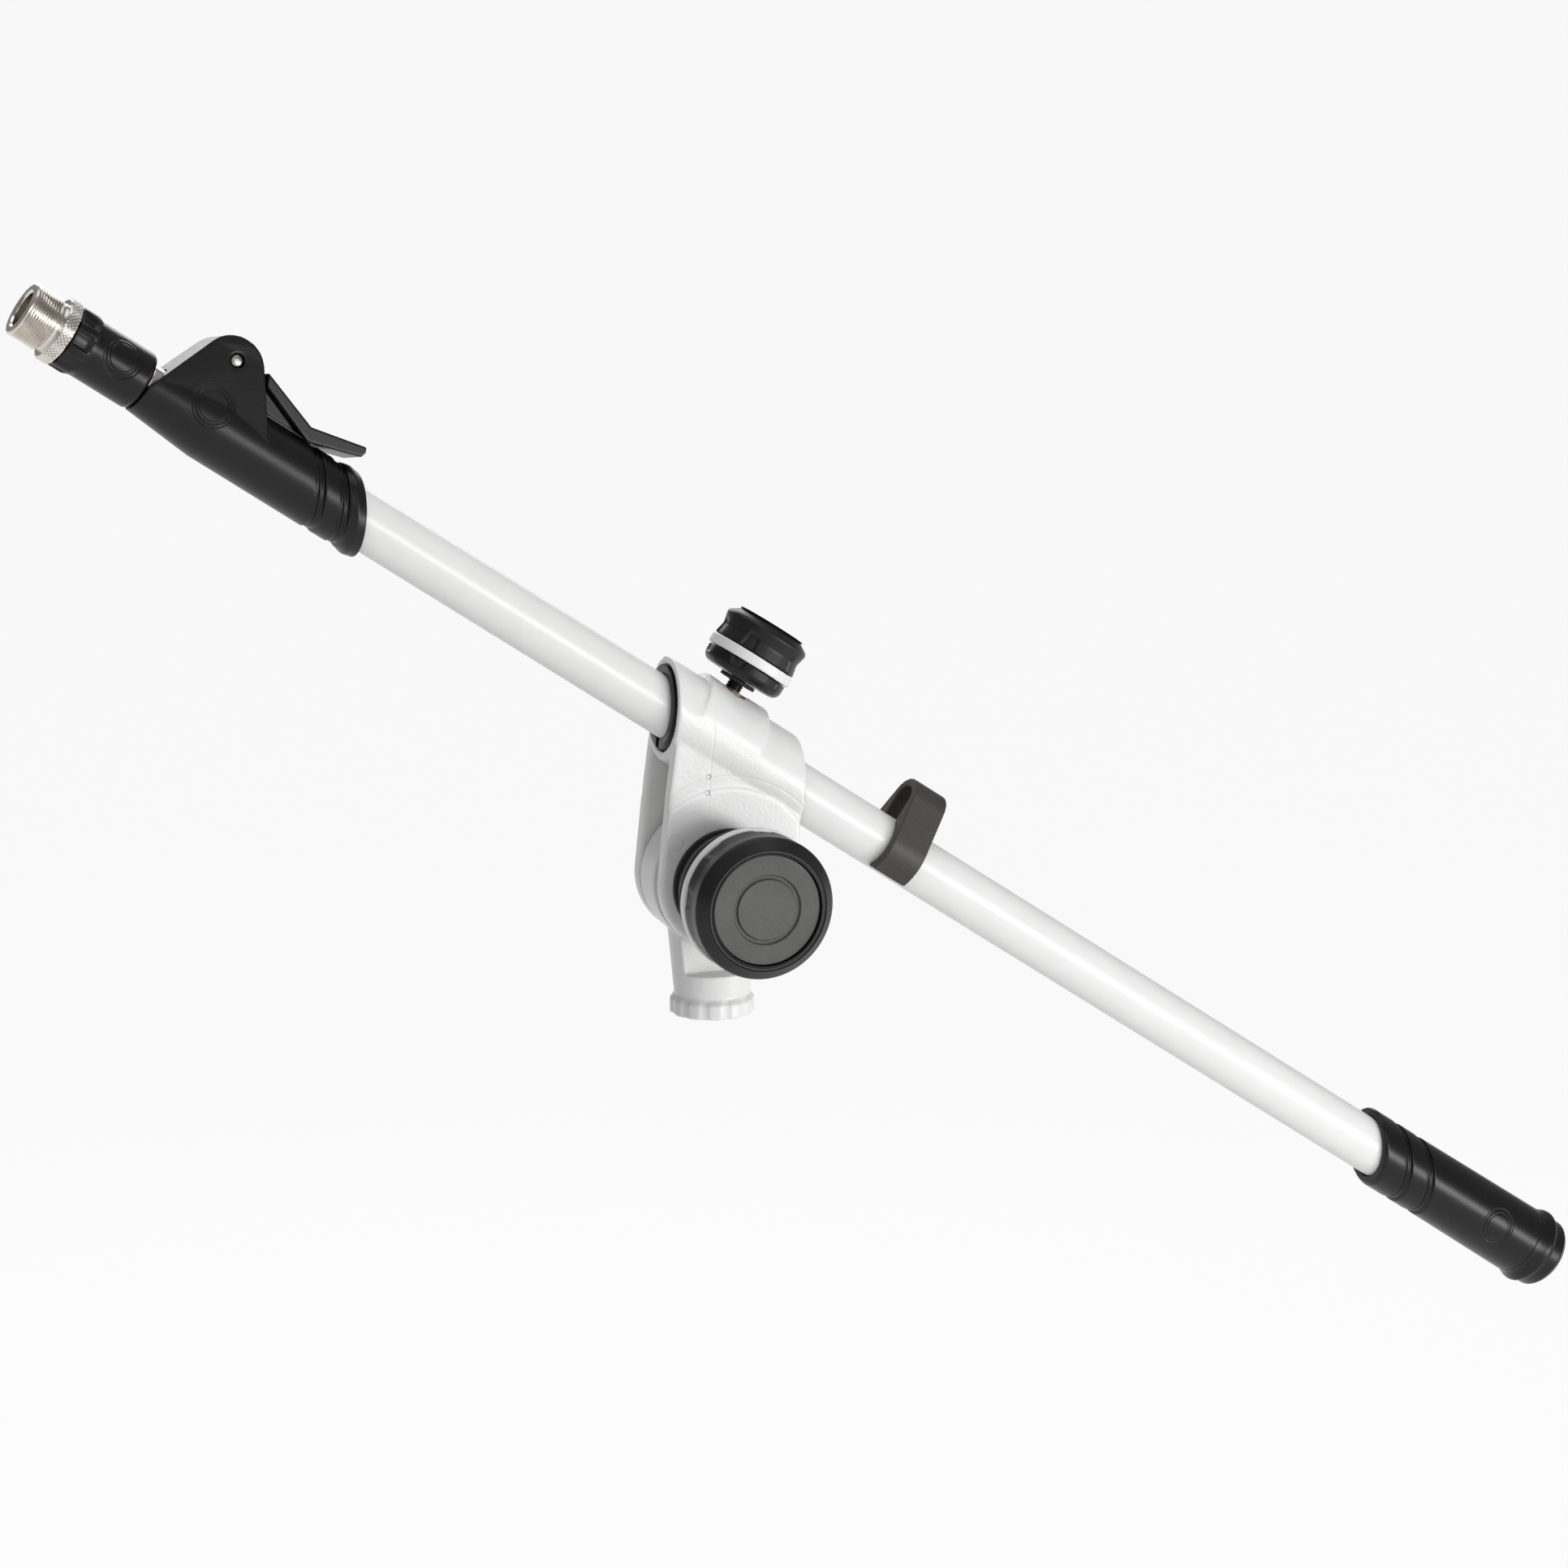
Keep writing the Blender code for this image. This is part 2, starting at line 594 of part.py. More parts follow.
def make_clamp_knob(carrier, knob, head):
    """The small knob that presses the screw on the liner, and the threaded bush that it runs in."""
    insert_high = SADDLE_TOP - CLEARANCE
    insert_low = insert_high - CLAMP_INSERT_LENGTH
    screw_bore = SCREW_R + CLEARANCE
    insert = tube_shape(insert_low, insert_high, CLAMP_INSERT_R, screw_bore, SMALL_STEPS)
    at_screw = (SCREW_ALONG, 0.0, AXIS_OFFSET)
    solid("clamp_insert", turned_to(insert, (0, 0, 1), at_screw), head, BRASS)
    washer_high = CLAMP_WASHER_LOW + CLAMP_WASHER_THICKNESS
    washer = tube_shape(CLAMP_WASHER_LOW, washer_high, CLAMP_WASHER_R, screw_bore, SMALL_STEPS)
    solid("clamp_washer", washer, carrier, FIBRE)
    back = CLAMP_SKIRT_BACK
    skirt_front = back + CLAMP_SKIRT_LENGTH
    rim_low = skirt_front + CLEARANCE
    rubber_back = rim_low + RIM_THICKNESS + CLEARANCE
    front = rubber_back + CLAMP_RUBBER_LENGTH
    sink = CLAMP_DISC_SINK + CLAMP_DISC_THICKNESS
    hub_top = front - sink - CLEARANCE
    screw_top = rim_low + SCREW_GRIP
    bore = CLAMP_HUB_R + CLEARANCE
    rounding = CLAMP_SKIRT_ROUNDING
    edge = arc((back + rounding, CLAMP_SKIRT_R - rounding), rounding, 180, 90, 4)
    skirt = turned([(back, bore), *edge, (skirt_front, CLAMP_SKIRT_R), (skirt_front, bore)])
    solid("clamp_knob_skirt", skirt, knob, BLACK_PLASTIC)
    bore_top = screw_top + CLEARANCE
    core = knob_core(back, rim_low, hub_top, CLAMP_HUB_R, CLAMP_RIM_R, screw_bore, bore_top)
    solid("clamp_knob_core", core, knob, WHITE_PAINT)
    radii = (CLAMP_RUBBER_FOOT_R, CLAMP_RUBBER_WAIST_R, CLAMP_RUBBER_CREST_R, CLAMP_RUBBER_FRONT_R)
    seat = CLAMP_DISC_R + CLEARANCE
    rubber = knob_rubber(rubber_back, front, bore, seat, sink, radii, CLAMP_BEVEL)
    solid("clamp_knob_rubber", rubber, knob, DARK_RUBBER)
    disc = knob_disc(front - CLAMP_DISC_SINK, CLAMP_DISC_R, CLAMP_DISC_THICKNESS)
    solid("clamp_knob_disc", disc, knob, GREY_FACE)
    solid("clamp_screw", rod_shape(SCREW_TIP, screw_top, SCREW_R, SMALL_STEPS), knob, DARK_STEEL)


def make_liner(barrel_axis, sleeve):
    """The split plastic liner in the barrel, and the thin sleeve that turns inside it."""
    front = BARREL_FRONT - LINER_LIP
    rear = BARREL_REAR + LINER_LIP
    ring = tube_shape(
        front, rear, LINER_R, TUBE_BORE_R, low_slope=CUT_SLOPE, high_slope=CUT_SLOPE
    )
    liner = solid("clamp_liner", ring, barrel_axis, BLACK_PLASTIC)
    recess = (SLEEVE_FRONT - CLEARANCE, SLEEVE_REAR + CLEARANCE, SLEEVE_R + CLEARANCE)
    cut(liner, rod_shape(*recess))
    half = LINER_SLIT / 2
    cut(liner, box((front - 20, -half, -2 * LINER_R), (rear + 20, half, 0.0)))
    shell = tube_shape(SLEEVE_FRONT, SLEEVE_REAR, SLEEVE_R, TUBE_BORE_R)
    solid("tube_sleeve", shell, sleeve, FIBRE)


def grooves(centres, radius):
    """Outline points for sloped grooves round a sleeve of a radius."""
    points = []
    half = GROOVE_WIDTH / 2
    floor = radius - GROOVE_DEPTH
    for centre in centres:
        points.append((centre - half - 0.4, radius, CUT_SLOPE))
        points.append((centre - half, floor, CUT_SLOPE))
        points.append((centre + half, floor, CUT_SLOPE))
        points.append((centre + half + 0.4, radius, CUT_SLOPE))
    return points


def body_radius(along):
    """The housing's radius: it narrows evenly towards the nose."""
    towards_nose = max(0.0, (HOUSING_FRONT + HOUSING_TAPER - along) / HOUSING_TAPER)
    return HOUSING_R - towards_nose * (HOUSING_R - HOUSING_NOSE_R)


def cheek_half_width(along, height):
    """Half the width of the block beside the lever. Its drafted sides touch the round body."""
    return body_radius(along) / math.cos(CHEEK_DRAFT) - height * math.tan(CHEEK_DRAFT)


def cheek_front(height):
    """Where the block's sloping front lies at a height."""
    along, foot = CHEEK_FRONT_FOOT
    return along + CHEEK_FRONT_SLOPE * (height - foot)


def cheek_shape():
    """The raised block that carries the lever's pin, drafted on both sides."""
    foot = HOUSING_R * math.sin(CHEEK_DRAFT)
    front_foot = (cheek_front(foot), foot)
    rear_foot = (CHEEK_REAR_FOOT, foot)
    rear_touch = tangent_angle(rear_foot, CHEEK_ROUND, CHEEK_R, 1)
    front_touch = tangent_angle(front_foot, CHEEK_ROUND, CHEEK_R, -1) % 360
    outline = [front_foot, rear_foot, *arc(CHEEK_ROUND, CHEEK_R, rear_touch, front_touch, 9)]
    shape = bmesh.new()
    sides = []
    for side in (-1, 1):
        sides.append(
            [shape.verts.new((u, side * cheek_half_width(u, v), v)) for u, v in outline]
        )
    near, far = sides
    for ring in sides:
        shape.faces.new(ring)
    for first in range(len(outline)):
        second = (first + 1) % len(outline)
        shape.faces.new((near[first], near[second], far[second], far[first]))
    bmesh.ops.recalc_face_normals(shape, faces=shape.faces)
    bmesh.ops.triangulate(shape, faces=shape.faces)
    return shape


def nose_cut():
    """What is taken off the round nose, so that it lies behind the block's sloping front."""
    low = CHEEK_FRONT_FOOT[1]
    high = 2 * HOUSING_R
    ahead = HOUSING_FRONT - 5.0
    behind = 0.1
    outline = [
        (ahead, low),
        (cheek_front(low) + behind, low),
        (cheek_front(high) + behind, high),
        (ahead, high),
    ]
    return prism(outline, -high, high)


def make_housing(boom):
    """The quick-release housing on the tube's front end, slotted for its lever."""
    taper_end = HOUSING_FRONT + HOUSING_TAPER
    groove_centres = [HOUSING_REAR - distance for distance in GROOVES_FROM_REAR]
    outline = [
        (HOUSING_FRONT, HOUSING_NOSE_R),
        (taper_end, HOUSING_R),
        *grooves(groove_centres, HOUSING_R),
        (HOUSING_REAR - 3.0, HOUSING_TAIL_R, CUT_SLOPE),
        (HOUSING_REAR, HOUSING_TAIL_R - 0.8, CUT_SLOPE),
    ]
    housing = solid("qr_housing", turned(outline, closed=False), boom, BLACK_PLASTIC)
    cut(housing, nose_cut())
    joined(housing, cheek_shape())
    slot = LEVER_WIDTH / 2 + CLEARANCE + 0.1
    slot_front = PIN_ALONG - LEVER_HUB_R - 2 * CLEARANCE
    slot_floor = HOUSING_R + 0.2
    cut(housing, box((slot_front, -slot, slot_floor), (PIN_ALONG + 60, slot, PIN_HEIGHT + 20)))
    window_front = PIN_ALONG - LEVER_LOBE_WIDTH / 2 - 4 * CLEARANCE
    cut(housing, box((window_front, -slot, 0.0), (TUBE_SEAT - 1.0, slot, slot_floor + 1)))
    cut(housing, rod_shape(HOUSING_FRONT - 5, TUBE_SEAT + 1, STEM_BORE_R))
    cut(housing, rod_shape(TUBE_SEAT, HOUSING_REAR + 20, TUBE_BORE_R))
    pin_hole = rod_shape(-20, 20, PIN_R + CLEARANCE, SMALL_STEPS)
    cut(housing, turned_to(pin_hole, (0, 1, 0), (PIN_ALONG, 0, PIN_HEIGHT)))
    reach = cheek_half_width(PIN_ALONG, PIN_HEIGHT) - 0.4
    pin = rod_shape(-reach, reach, PIN_R, SMALL_STEPS)
    solid("qr_pin", turned_to(pin, (0, 1, 0), (PIN_ALONG, 0, PIN_HEIGHT)), boom, STEEL)


def lever_hub_outline():
    """The lever's hub from the side, about its pin, with its lobe and the neck of its arm."""
    lobe_r = PIN_HEIGHT - STEM_R - LEVER_LOBE_LIFT
    lobe_angle = math.degrees(math.asin(LEVER_LOBE_WIDTH / 2 / lobe_r))
    hub = arc((0, 0), LEVER_HUB_R, 70, 205, 7)
    lobe = arc((0, 0), lobe_r, 270 - lobe_angle, 270 + lobe_angle, 4)
    return [*hub, *lobe, *LEVER_NECK]


def make_lever(lever):
    """The cranked release lever. Its lobe bears on the adapter's stem when shut."""
    half = LEVER_WIDTH / 2
    body = solid("qr_lever", prism(lever_hub_outline(), -half, half), lever, BLACK_PLASTIC)
    arm = [*LEVER_SHOULDER, LEVER_BEND_TOP, *LEVER_TIP, LEVER_BEND_UNDER]
    half_arm = LEVER_ARM_WIDTH / 2
    joined(body, prism(arm, -half_arm, half_arm))
    beyond = 2 * LEVER_TIP[0][0]
    hollow = rod_shape(-beyond, beyond, HOUSING_R + LEVER_ARM_LIFT)
    cut(body, turned_to(hollow, (1, 0, 0), (0, 0, -PIN_HEIGHT)))
    pin_hole = rod_shape(-LEVER_ARM_WIDTH, LEVER_ARM_WIDTH, PIN_R + CLEARANCE, SMALL_STEPS)
    cut(body, turned_to(pin_hole, (0, 1, 0)))


def make_adapter(adapter, thread):
    """The plug-in adapter: a steel stem with a stud, a grip cap on it, and the threaded sleeve."""
    shoulder = HOUSING_FRONT
    stem = turned(
        [
            (STUD_FRONT, STUD_R - 0.5),
            (STUD_FRONT + 0.5, STUD_R),
            (shoulder, STUD_R),
            (shoulder, STEM_R),
            (STEM_REAR - 1.0, STEM_R),
            (STEM_REAR, STEM_R - 1.0),
        ],
        SMALL_STEPS,
        closed=False,
    )
    solid("adapter_stem", stem, adapter, NICKEL)
    cap_rear = shoulder - CLEARANCE
    grip_end = CAP_FRONT + CAP_GRIP_LENGTH
    cap = turned(
        [
            (CAP_FRONT, STUD_BORE_R),
            (CAP_FRONT, CAP_GRIP_R - 0.3),
            (CAP_FRONT + 0.3, CAP_GRIP_R),
            (grip_end, CAP_GRIP_R),
            (grip_end + 2.0, CAP_R),
            (cap_rear - 1.2, CAP_R),
            (cap_rear, CAP_R - 0.5),
            (cap_rear, STUD_BORE_R),
        ]
    )
    solid("adapter_cap", cap, adapter, BLACK_PLASTIC)
    thread_end = THREAD_FRONT + THREAD_LENGTH
    knurl_rear = CAP_FRONT - CLEARANCE
    knurl_front = knurl_rear - KNURL_LENGTH
    sleeve = turned(
        [
            (THREAD_FRONT + 0.6, STUD_BORE_R),
            (THREAD_FRONT, STUD_BORE_R + 0.6),
            (THREAD_FRONT, THREAD_R - 0.5),
            (THREAD_FRONT + 0.5, THREAD_R),
            (thread_end, THREAD_R),
            (thread_end, THREAD_RELIEF_R),
            (knurl_front, THREAD_RELIEF_R),
            (knurl_front, KNURL_R - 0.4),
            (knurl_front + 0.4, KNURL_R),
            (knurl_rear - 0.4, KNURL_R),
            (knurl_rear, KNURL_R - 0.4),
            (knurl_rear, STUD_BORE_R),
        ]
    )
    solid("thread_adapter", sleeve, thread, NICKEL)


def make_tube(boom):
    """The steel boom tube."""
    tube = tube_shape(TUBE_FRONT, GRIP_REAR, TUBE_R, TUBE_R - TUBE_WALL)
    solid("boom_tube", tube, boom, WHITE_PAINT)


def make_rear_grip(boom):
    """The grip sleeve on the tube's rear end and the beaded cap plugged into it."""
    groove_centres = [GRIP_FRONT + distance for distance in GRIP_GROOVES_FROM_FRONT]
    grip = turned(
        [
            (GRIP_FRONT, TUBE_BORE_R, CUT_SLOPE),
            (GRIP_FRONT, GRIP_R - 0.6, CUT_SLOPE),
            (GRIP_FRONT + 1.0, GRIP_R, CUT_SLOPE),
            *grooves(groove_centres, GRIP_R),
            (GRIP_REAR, GRIP_REAR_R),
            (GRIP_REAR, TUBE_BORE_R),
        ]
    )
    solid("counter_grip", grip, boom, BLACK_PLASTIC)
    cap_front = END_CAP_FRONT
    bead_end = cap_front + BEAD_LENGTH
    end = cap_front + END_CAP_LENGTH
    rounding = END_CAP_ROUNDING
    plug_r = TUBE_R - TUBE_WALL - CLEARANCE
    plug_front = cap_front - PLUG_LENGTH
    cap = turned(
        [
            (plug_front, plug_r - PLUG_LEAD),
            (plug_front + PLUG_LEAD, plug_r),
            (cap_front, plug_r),
            (cap_front, GRIP_REAR_R),
            (cap_front + 1.0, BEAD_R - 0.5),
            (cap_front + 2.5, BEAD_R),
            (cap_front + 4.6, BEAD_R),
            (cap_front + 6.3, BEAD_R - 0.4),
            (bead_end, END_CAP_R - 0.1),
            (bead_end + 1.2, END_CAP_R),
            *arc((end - rounding, END_CAP_R - rounding), rounding, 90, 0, 6),
            (end - END_CAP_DISH, END_CAP_R - rounding - END_CAP_DISH),
        ],
        closed=False,
    )
    solid("counter_cap", cap, boom, BLACK_PLASTIC)


def hull_of_circles(low_r, high_r, high):
    """Half an outline round two circles, one above the other, from the foot up to the top."""
    lean = math.degrees(math.asin((low_r - high_r) / high))
    return arc((0, 0), low_r, -90, lean, 13) + arc((0, high), high_r, lean, 90, 6)


def mirrored(half):
    """A whole outline from its right half, which starts and ends on the middle line."""
    return half + [(-u, v) for u, v in reversed(half[1:-1])]


def make_clip(clip):
    """The snap-on cable clip: a C round the tube with a loop above it."""
    half = CLIP_WIDTH / 2
    outer = mirrored(hull_of_circles(CLIP_OUTER_R, CLIP_LOOP_R, CLIP_LOOP_HEIGHT))
    band = solid("cable_clip", prism(outer, -half, half, along="X"), clip, CLIP_PLASTIC)
    cut(band, rod_shape(-2 * half, 2 * half, TUBE_BORE_R))
    wide = 2 * CLIP_OUTER_R
    cut(band, box((-2 * half, -wide, -wide), (2 * half, wide, CLIP_MOUTH)))
    inner = CLIP_LOOP_R - CLIP_WALL
    channel = [(-inner, 0.0), (inner, 0.0), *arc((0, CLIP_LOOP_HEIGHT), inner, 0, 180, 9)]
    cut(band, prism(channel, -2 * half, 2 * half, along="X"))


def main():
    clear_scene()
    stand = joint_empty("stand_frame", None, Matrix.Identity(4))
    tilt = Matrix.Translation((0, 0, PIVOT_HEIGHT)) @ Matrix.Rotation(BOOM_TILT, 4, "Y")
    head = joint_empty("head_frame", stand, tilt)
    outwards = Matrix.Rotation(math.radians(-90), 4, "Z")
    pivot_carrier = joint_empty("pivot_knob_carrier_frame", head, outwards)
    pivot_knob = joint_empty("pivot_knob_frame", pivot_carrier, Matrix.Identity(4))
    to_axis = Matrix.Translation((0, 0, AXIS_OFFSET))
    barrel_axis = joint_empty("barrel_frame", head, to_axis)
    rolled = Matrix.Rotation(BOOM_ROLL, 4, "X")
    sleeve = joint_empty("sleeve_frame", barrel_axis, rolled)
    boom = joint_empty("boom_frame", sleeve, Matrix.Identity(4))
    to_screw = Matrix.Translation((SCREW_ALONG, 0, AXIS_OFFSET)) @ Matrix.Rotation(
        math.radians(-90), 4, "Y"
    )
    clamp_carrier = joint_empty("clamp_knob_carrier_frame", head, to_screw)
    clamp_knob = joint_empty("clamp_knob_frame", clamp_carrier, Matrix.Identity(4))
    lever = joint_empty("lever_frame", boom, Matrix.Translation((PIN_ALONG, 0, PIN_HEIGHT)))
    adapter = joint_empty("adapter_frame", boom, Matrix.Identity(4))
    thread = joint_empty("thread_frame", adapter, Matrix.Identity(4))
    clip = joint_empty("clip_frame", boom, rolled.inverted() @ Matrix.Translation((CLIP_ALONG, 0, 0)))
    make_post(stand)
    make_head(head)
    make_pivot_hardware(head)
    make_pivot_knob(pivot_carrier, pivot_knob)
    make_clamp_knob(clamp_carrier, clamp_knob, head)
    make_liner(barrel_axis, sleeve)
    make_tube(boom)
    make_housing(boom)
    make_lever(lever)
    make_adapter(adapter, thread)
    make_rear_grip(boom)
    make_clip(clip)


main()
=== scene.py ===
# %% [markdown]
# # A boom arm for a microphone stand
# The object is a white tube that slides and turns in a cast clamp head. The head tilts on a post.
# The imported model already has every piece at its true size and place, so this lesson dresses it:
# it sets up a camera, a stage and lamps, then gives each piece its fine shape and its finish.

import math

import bmesh
import bpy
from mathutils import Matrix, Vector


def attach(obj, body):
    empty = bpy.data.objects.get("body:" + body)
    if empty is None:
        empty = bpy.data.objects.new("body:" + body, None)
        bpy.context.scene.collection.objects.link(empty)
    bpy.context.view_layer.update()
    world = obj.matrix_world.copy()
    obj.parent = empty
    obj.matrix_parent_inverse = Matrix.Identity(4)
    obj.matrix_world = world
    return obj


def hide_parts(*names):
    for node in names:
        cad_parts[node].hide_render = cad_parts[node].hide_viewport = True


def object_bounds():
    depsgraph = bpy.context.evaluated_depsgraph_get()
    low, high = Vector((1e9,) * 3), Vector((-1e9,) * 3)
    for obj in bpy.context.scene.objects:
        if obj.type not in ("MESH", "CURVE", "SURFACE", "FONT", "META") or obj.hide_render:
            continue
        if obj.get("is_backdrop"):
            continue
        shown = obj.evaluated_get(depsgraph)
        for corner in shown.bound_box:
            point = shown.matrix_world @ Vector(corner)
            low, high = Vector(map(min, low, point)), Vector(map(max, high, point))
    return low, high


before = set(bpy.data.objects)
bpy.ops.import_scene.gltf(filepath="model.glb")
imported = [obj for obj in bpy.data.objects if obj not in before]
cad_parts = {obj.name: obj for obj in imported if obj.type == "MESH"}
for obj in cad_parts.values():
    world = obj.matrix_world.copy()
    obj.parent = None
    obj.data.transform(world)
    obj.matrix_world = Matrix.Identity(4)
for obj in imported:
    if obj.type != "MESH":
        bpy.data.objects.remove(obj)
cad_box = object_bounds()

# %% [markdown]
# The camera stands about 1.35 m away with a long lens, a little above the boom and to its left.
# Its place was worked out from edges whose sizes are known. The image is square, and the focal
# length was found in its pixels.

# %% Camera
MM = 0.001
CAMERA_PLACE = Vector((-441.06, -1230.58, 354.14)) * MM
CAMERA_AZIMUTH = math.radians(-20.629)
CAMERA_ELEVATION = math.radians(12.402)
CAMERA_ROLL = math.radians(-0.048)
FOCAL_PIXELS, IMAGE_PIXELS = 5784.8, 1932
SENSOR_WIDTH = 36.0


def added(name, data):
    """Puts a camera, lamp or mesh into the scene as an object."""
    obj = bpy.data.objects.new(name, data)
    bpy.context.scene.collection.objects.link(obj)
    return obj


def rotation(angle, axis):
    """A turn by an angle in radians about an axis of the world."""
    return Matrix.Rotation(angle, 4, axis)


lens = bpy.data.cameras.new("lens")
lens.sensor_width = SENSOR_WIDTH
lens.lens = SENSOR_WIDTH * FOCAL_PIXELS / IMAGE_PIXELS
lens.clip_start = 0.05
camera = added("camera", lens)
level = rotation(CAMERA_AZIMUTH, "Z") @ rotation(math.pi / 2 - CAMERA_ELEVATION, "X")
camera.matrix_world = Matrix.Translation(CAMERA_PLACE) @ level @ rotation(CAMERA_ROLL, "Z")
bpy.context.scene.camera = camera
bpy.context.scene.view_settings.view_transform = "Standard"
print("camera lens", round(lens.lens, 2), "mm")

# %% [markdown]
# Shader nodes are easier to read as sums than as wires. A Wire holds one socket, and Python's
# operators on it add Math nodes. A Finish holds one material, and its node method adds any node:
# it takes the node's type, its settings, and the values or wires for its sockets.

# %% Shader maths


class Wire:
    """A socket of a shader node on which +, - and * add Math nodes."""

    def __init__(self, finish, socket):
        self.finish = finish
        self.socket = socket

    def math(self, operation, *values):
        return self.finish.node("ShaderNodeMath", {"operation": operation}, values)

    def __add__(self, other):
        return self.math("ADD", self, other)

    def __sub__(self, other):
        return self.math("SUBTRACT", self, other)

    def __rsub__(self, other):
        return self.math("SUBTRACT", other, self)

    def __mul__(self, other):
        return self.math("MULTIPLY", self, other)

    __radd__ = __add__
    __rmul__ = __mul__


class Finish:
    """A material of one colour, roughness and metallic value, to which nodes add variation."""

    def __init__(self, name, slot, colour, roughness, metallic=0.0, **constants):
        self.slot = slot
        self.colour = colour
        self.roughness = roughness
        self.material = bpy.data.materials.new(name)
        self.material.use_nodes = True
        self.tree = self.material.node_tree
        self.shader = self.tree.nodes["Principled BSDF"]
        self.shader.inputs["Base Color"].default_value = (*colour, 1.0)
        self.shader.inputs["Roughness"].default_value = roughness
        self.shader.inputs["Metallic"].default_value = metallic
        for socket, value in constants.items():
            self.shader.inputs[socket.replace("_", " ")].default_value = value
        self.place = self.node("ShaderNodeTexCoord", {}, {}, "Object")
        self.height = None

    def node(self, kind, settings, values, output=0):
        made = self.tree.nodes.new(kind)
        for key, value in settings.items():
            setattr(made, key, value)
        pairs = values.items() if isinstance(values, dict) else enumerate(values)
        for key, value in pairs:
            if isinstance(value, Wire):
                self.tree.links.new(value.socket, made.inputs[key])
            else:
                made.inputs[key].default_value = value
        return Wire(self, made.outputs[output])

    def noise(self, size, detail=2.0):
        """Cloudy values round 0.5, with lumps of about this size in metres."""
        values = {"Vector": self.place, "Scale": 1 / size, "Detail": detail}
        return self.node("ShaderNodeTexNoise", {}, values, "Fac")

    def soft_step(self, value, low, high):
        """0 below low and 1 above high, with a smooth rise between."""
        values = {"Value": value, "From Min": low, "From Max": high}
        return self.node("ShaderNodeMapRange", {"interpolation_type": "SMOOTHSTEP"}, values)

    def mixed(self, share, first, second):
        """A colour between two. A Mix node's colour sockets are its inputs 6 and 7 and output 2."""
        values = {0: share, 6: (*first, 1.0), 7: (*second, 1.0)}
        return self.node("ShaderNodeMix", {"data_type": "RGBA"}, values, 2)

    def vector(self, operation, first, *second, output=0):
        """A Vector Math node on a wire and, where it takes two, a fixed vector."""
        values = [first, *(tuple(v) for v in second)]
        return self.node("ShaderNodeVectorMath", {"operation": operation}, values, output)

    def raise_by(self, height):
        """Adds a height, in metres, to the relief that the Bump node gets at the end."""
        self.height = height if self.height is None else self.height + height

    def feed(self, socket, wire):
        self.tree.links.new(wire.socket, self.shader.inputs[socket])

    def vary_roughness(self, wire, spread):
        self.feed("Roughness", (wire - 0.5) * spread + self.roughness)

    def vary_colour(self, wire, spread):
        dark = tuple(max(0.0, c * (1 - spread)) for c in self.colour)
        light = tuple(min(1.0, c * (1 + spread)) for c in self.colour)
        self.feed("Base Color", self.mixed(self.soft_step(wire, 0.3, 0.7), dark, light))

    def relief(self):
        """Sends the collected height to the shader's normal."""
        values = {"Strength": 1.0, "Distance": 1.0, "Height": self.height}
        self.feed("Normal", self.node("ShaderNodeBump", {}, values))
        return self

    def line_distance(self, centre, axis):
        """Distance from the line through a point, and how far along the line, in metres."""
        gap = self.vector("SUBTRACT", self.place, centre)
        along = self.vector("DOT_PRODUCT", gap, axis, output="Value")
        across = self.vector("CROSS_PRODUCT", gap, axis)
        return self.vector("LENGTH", across, output="Value"), along

    def groove_at(self, distance, where, width):
        """1 in a thin groove where a distance has a value, and 0 elsewhere."""
        gap = distance - where
        return 1 - self.soft_step(gap.math("ABSOLUTE", gap), 0.3 * width, width)

    def ring_marks(self, centre, axis, radii, width, depth, reach=0.004):
        """Ring grooves about a line, on the side of the object that the axis points to."""
        distance, along = self.line_distance(centre, axis)
        side = self.soft_step(along, -reach, -0.8 * reach)
        for radius in radii:
            self.raise_by(self.groove_at(distance, radius, width) * side * -depth)


print("shader maths ready")

# %% [markdown]
# Frames say where each group of pieces stands, in metres: x runs along the group's own axis.
# Lengths are then written in millimetres, as a maker would, and each mesh is turned into
# metres and moved to its place when it is finished. The head is tilted on the post, and the
# boom is rolled in the head. CUT_SLOPE is the slant of the barrel's ends and of the grooves.

# %% Frames
TILT = math.radians(34.0)
ROLL = math.radians(-10.5)
QUARTER_BACK = math.radians(-90)
CUT_SLOPE = math.tan(math.radians(28.0))
PIVOT_HEIGHT, BARREL_HEIGHT = 40.3, 33.3
SCREW_ALONG, CLIP_ALONG = -24.5, 44.5
PIN_ALONG, PIN_HEIGHT = -199.0, 17.4


def moved(x, y, z):
    return Matrix.Translation(Vector((x, y, z)) * MM)


stand = Matrix.Identity(4)
head = moved(0, 0, PIVOT_HEIGHT) @ rotation(TILT, "Y")
barrel = head @ moved(0, 0, BARREL_HEIGHT)
boom = barrel @ rotation(ROLL, "X")
pivot_knob = head @ rotation(QUARTER_BACK, "Z")
clamp_knob = barrel @ moved(SCREW_ALONG, 0, 0) @ rotation(QUARTER_BACK, "Y")
lever = boom @ moved(PIN_ALONG, 0, PIN_HEIGHT)
clip = barrel @ moved(CLIP_ALONG, 0, 0)
print("boom points along", [round(c, 3) for c in boom.to_3x3() @ Vector((1, 0, 0))])


def spot(place, x, y, z):
    """A point of a frame, in metres in the world."""
    return place @ (Vector((x, y, z)) * MM)


def heading(place, x, y, z):
    """A direction of a frame, as a unit vector in the world."""
    return (place.to_3x3() @ Vector((x, y, z))).normalized()


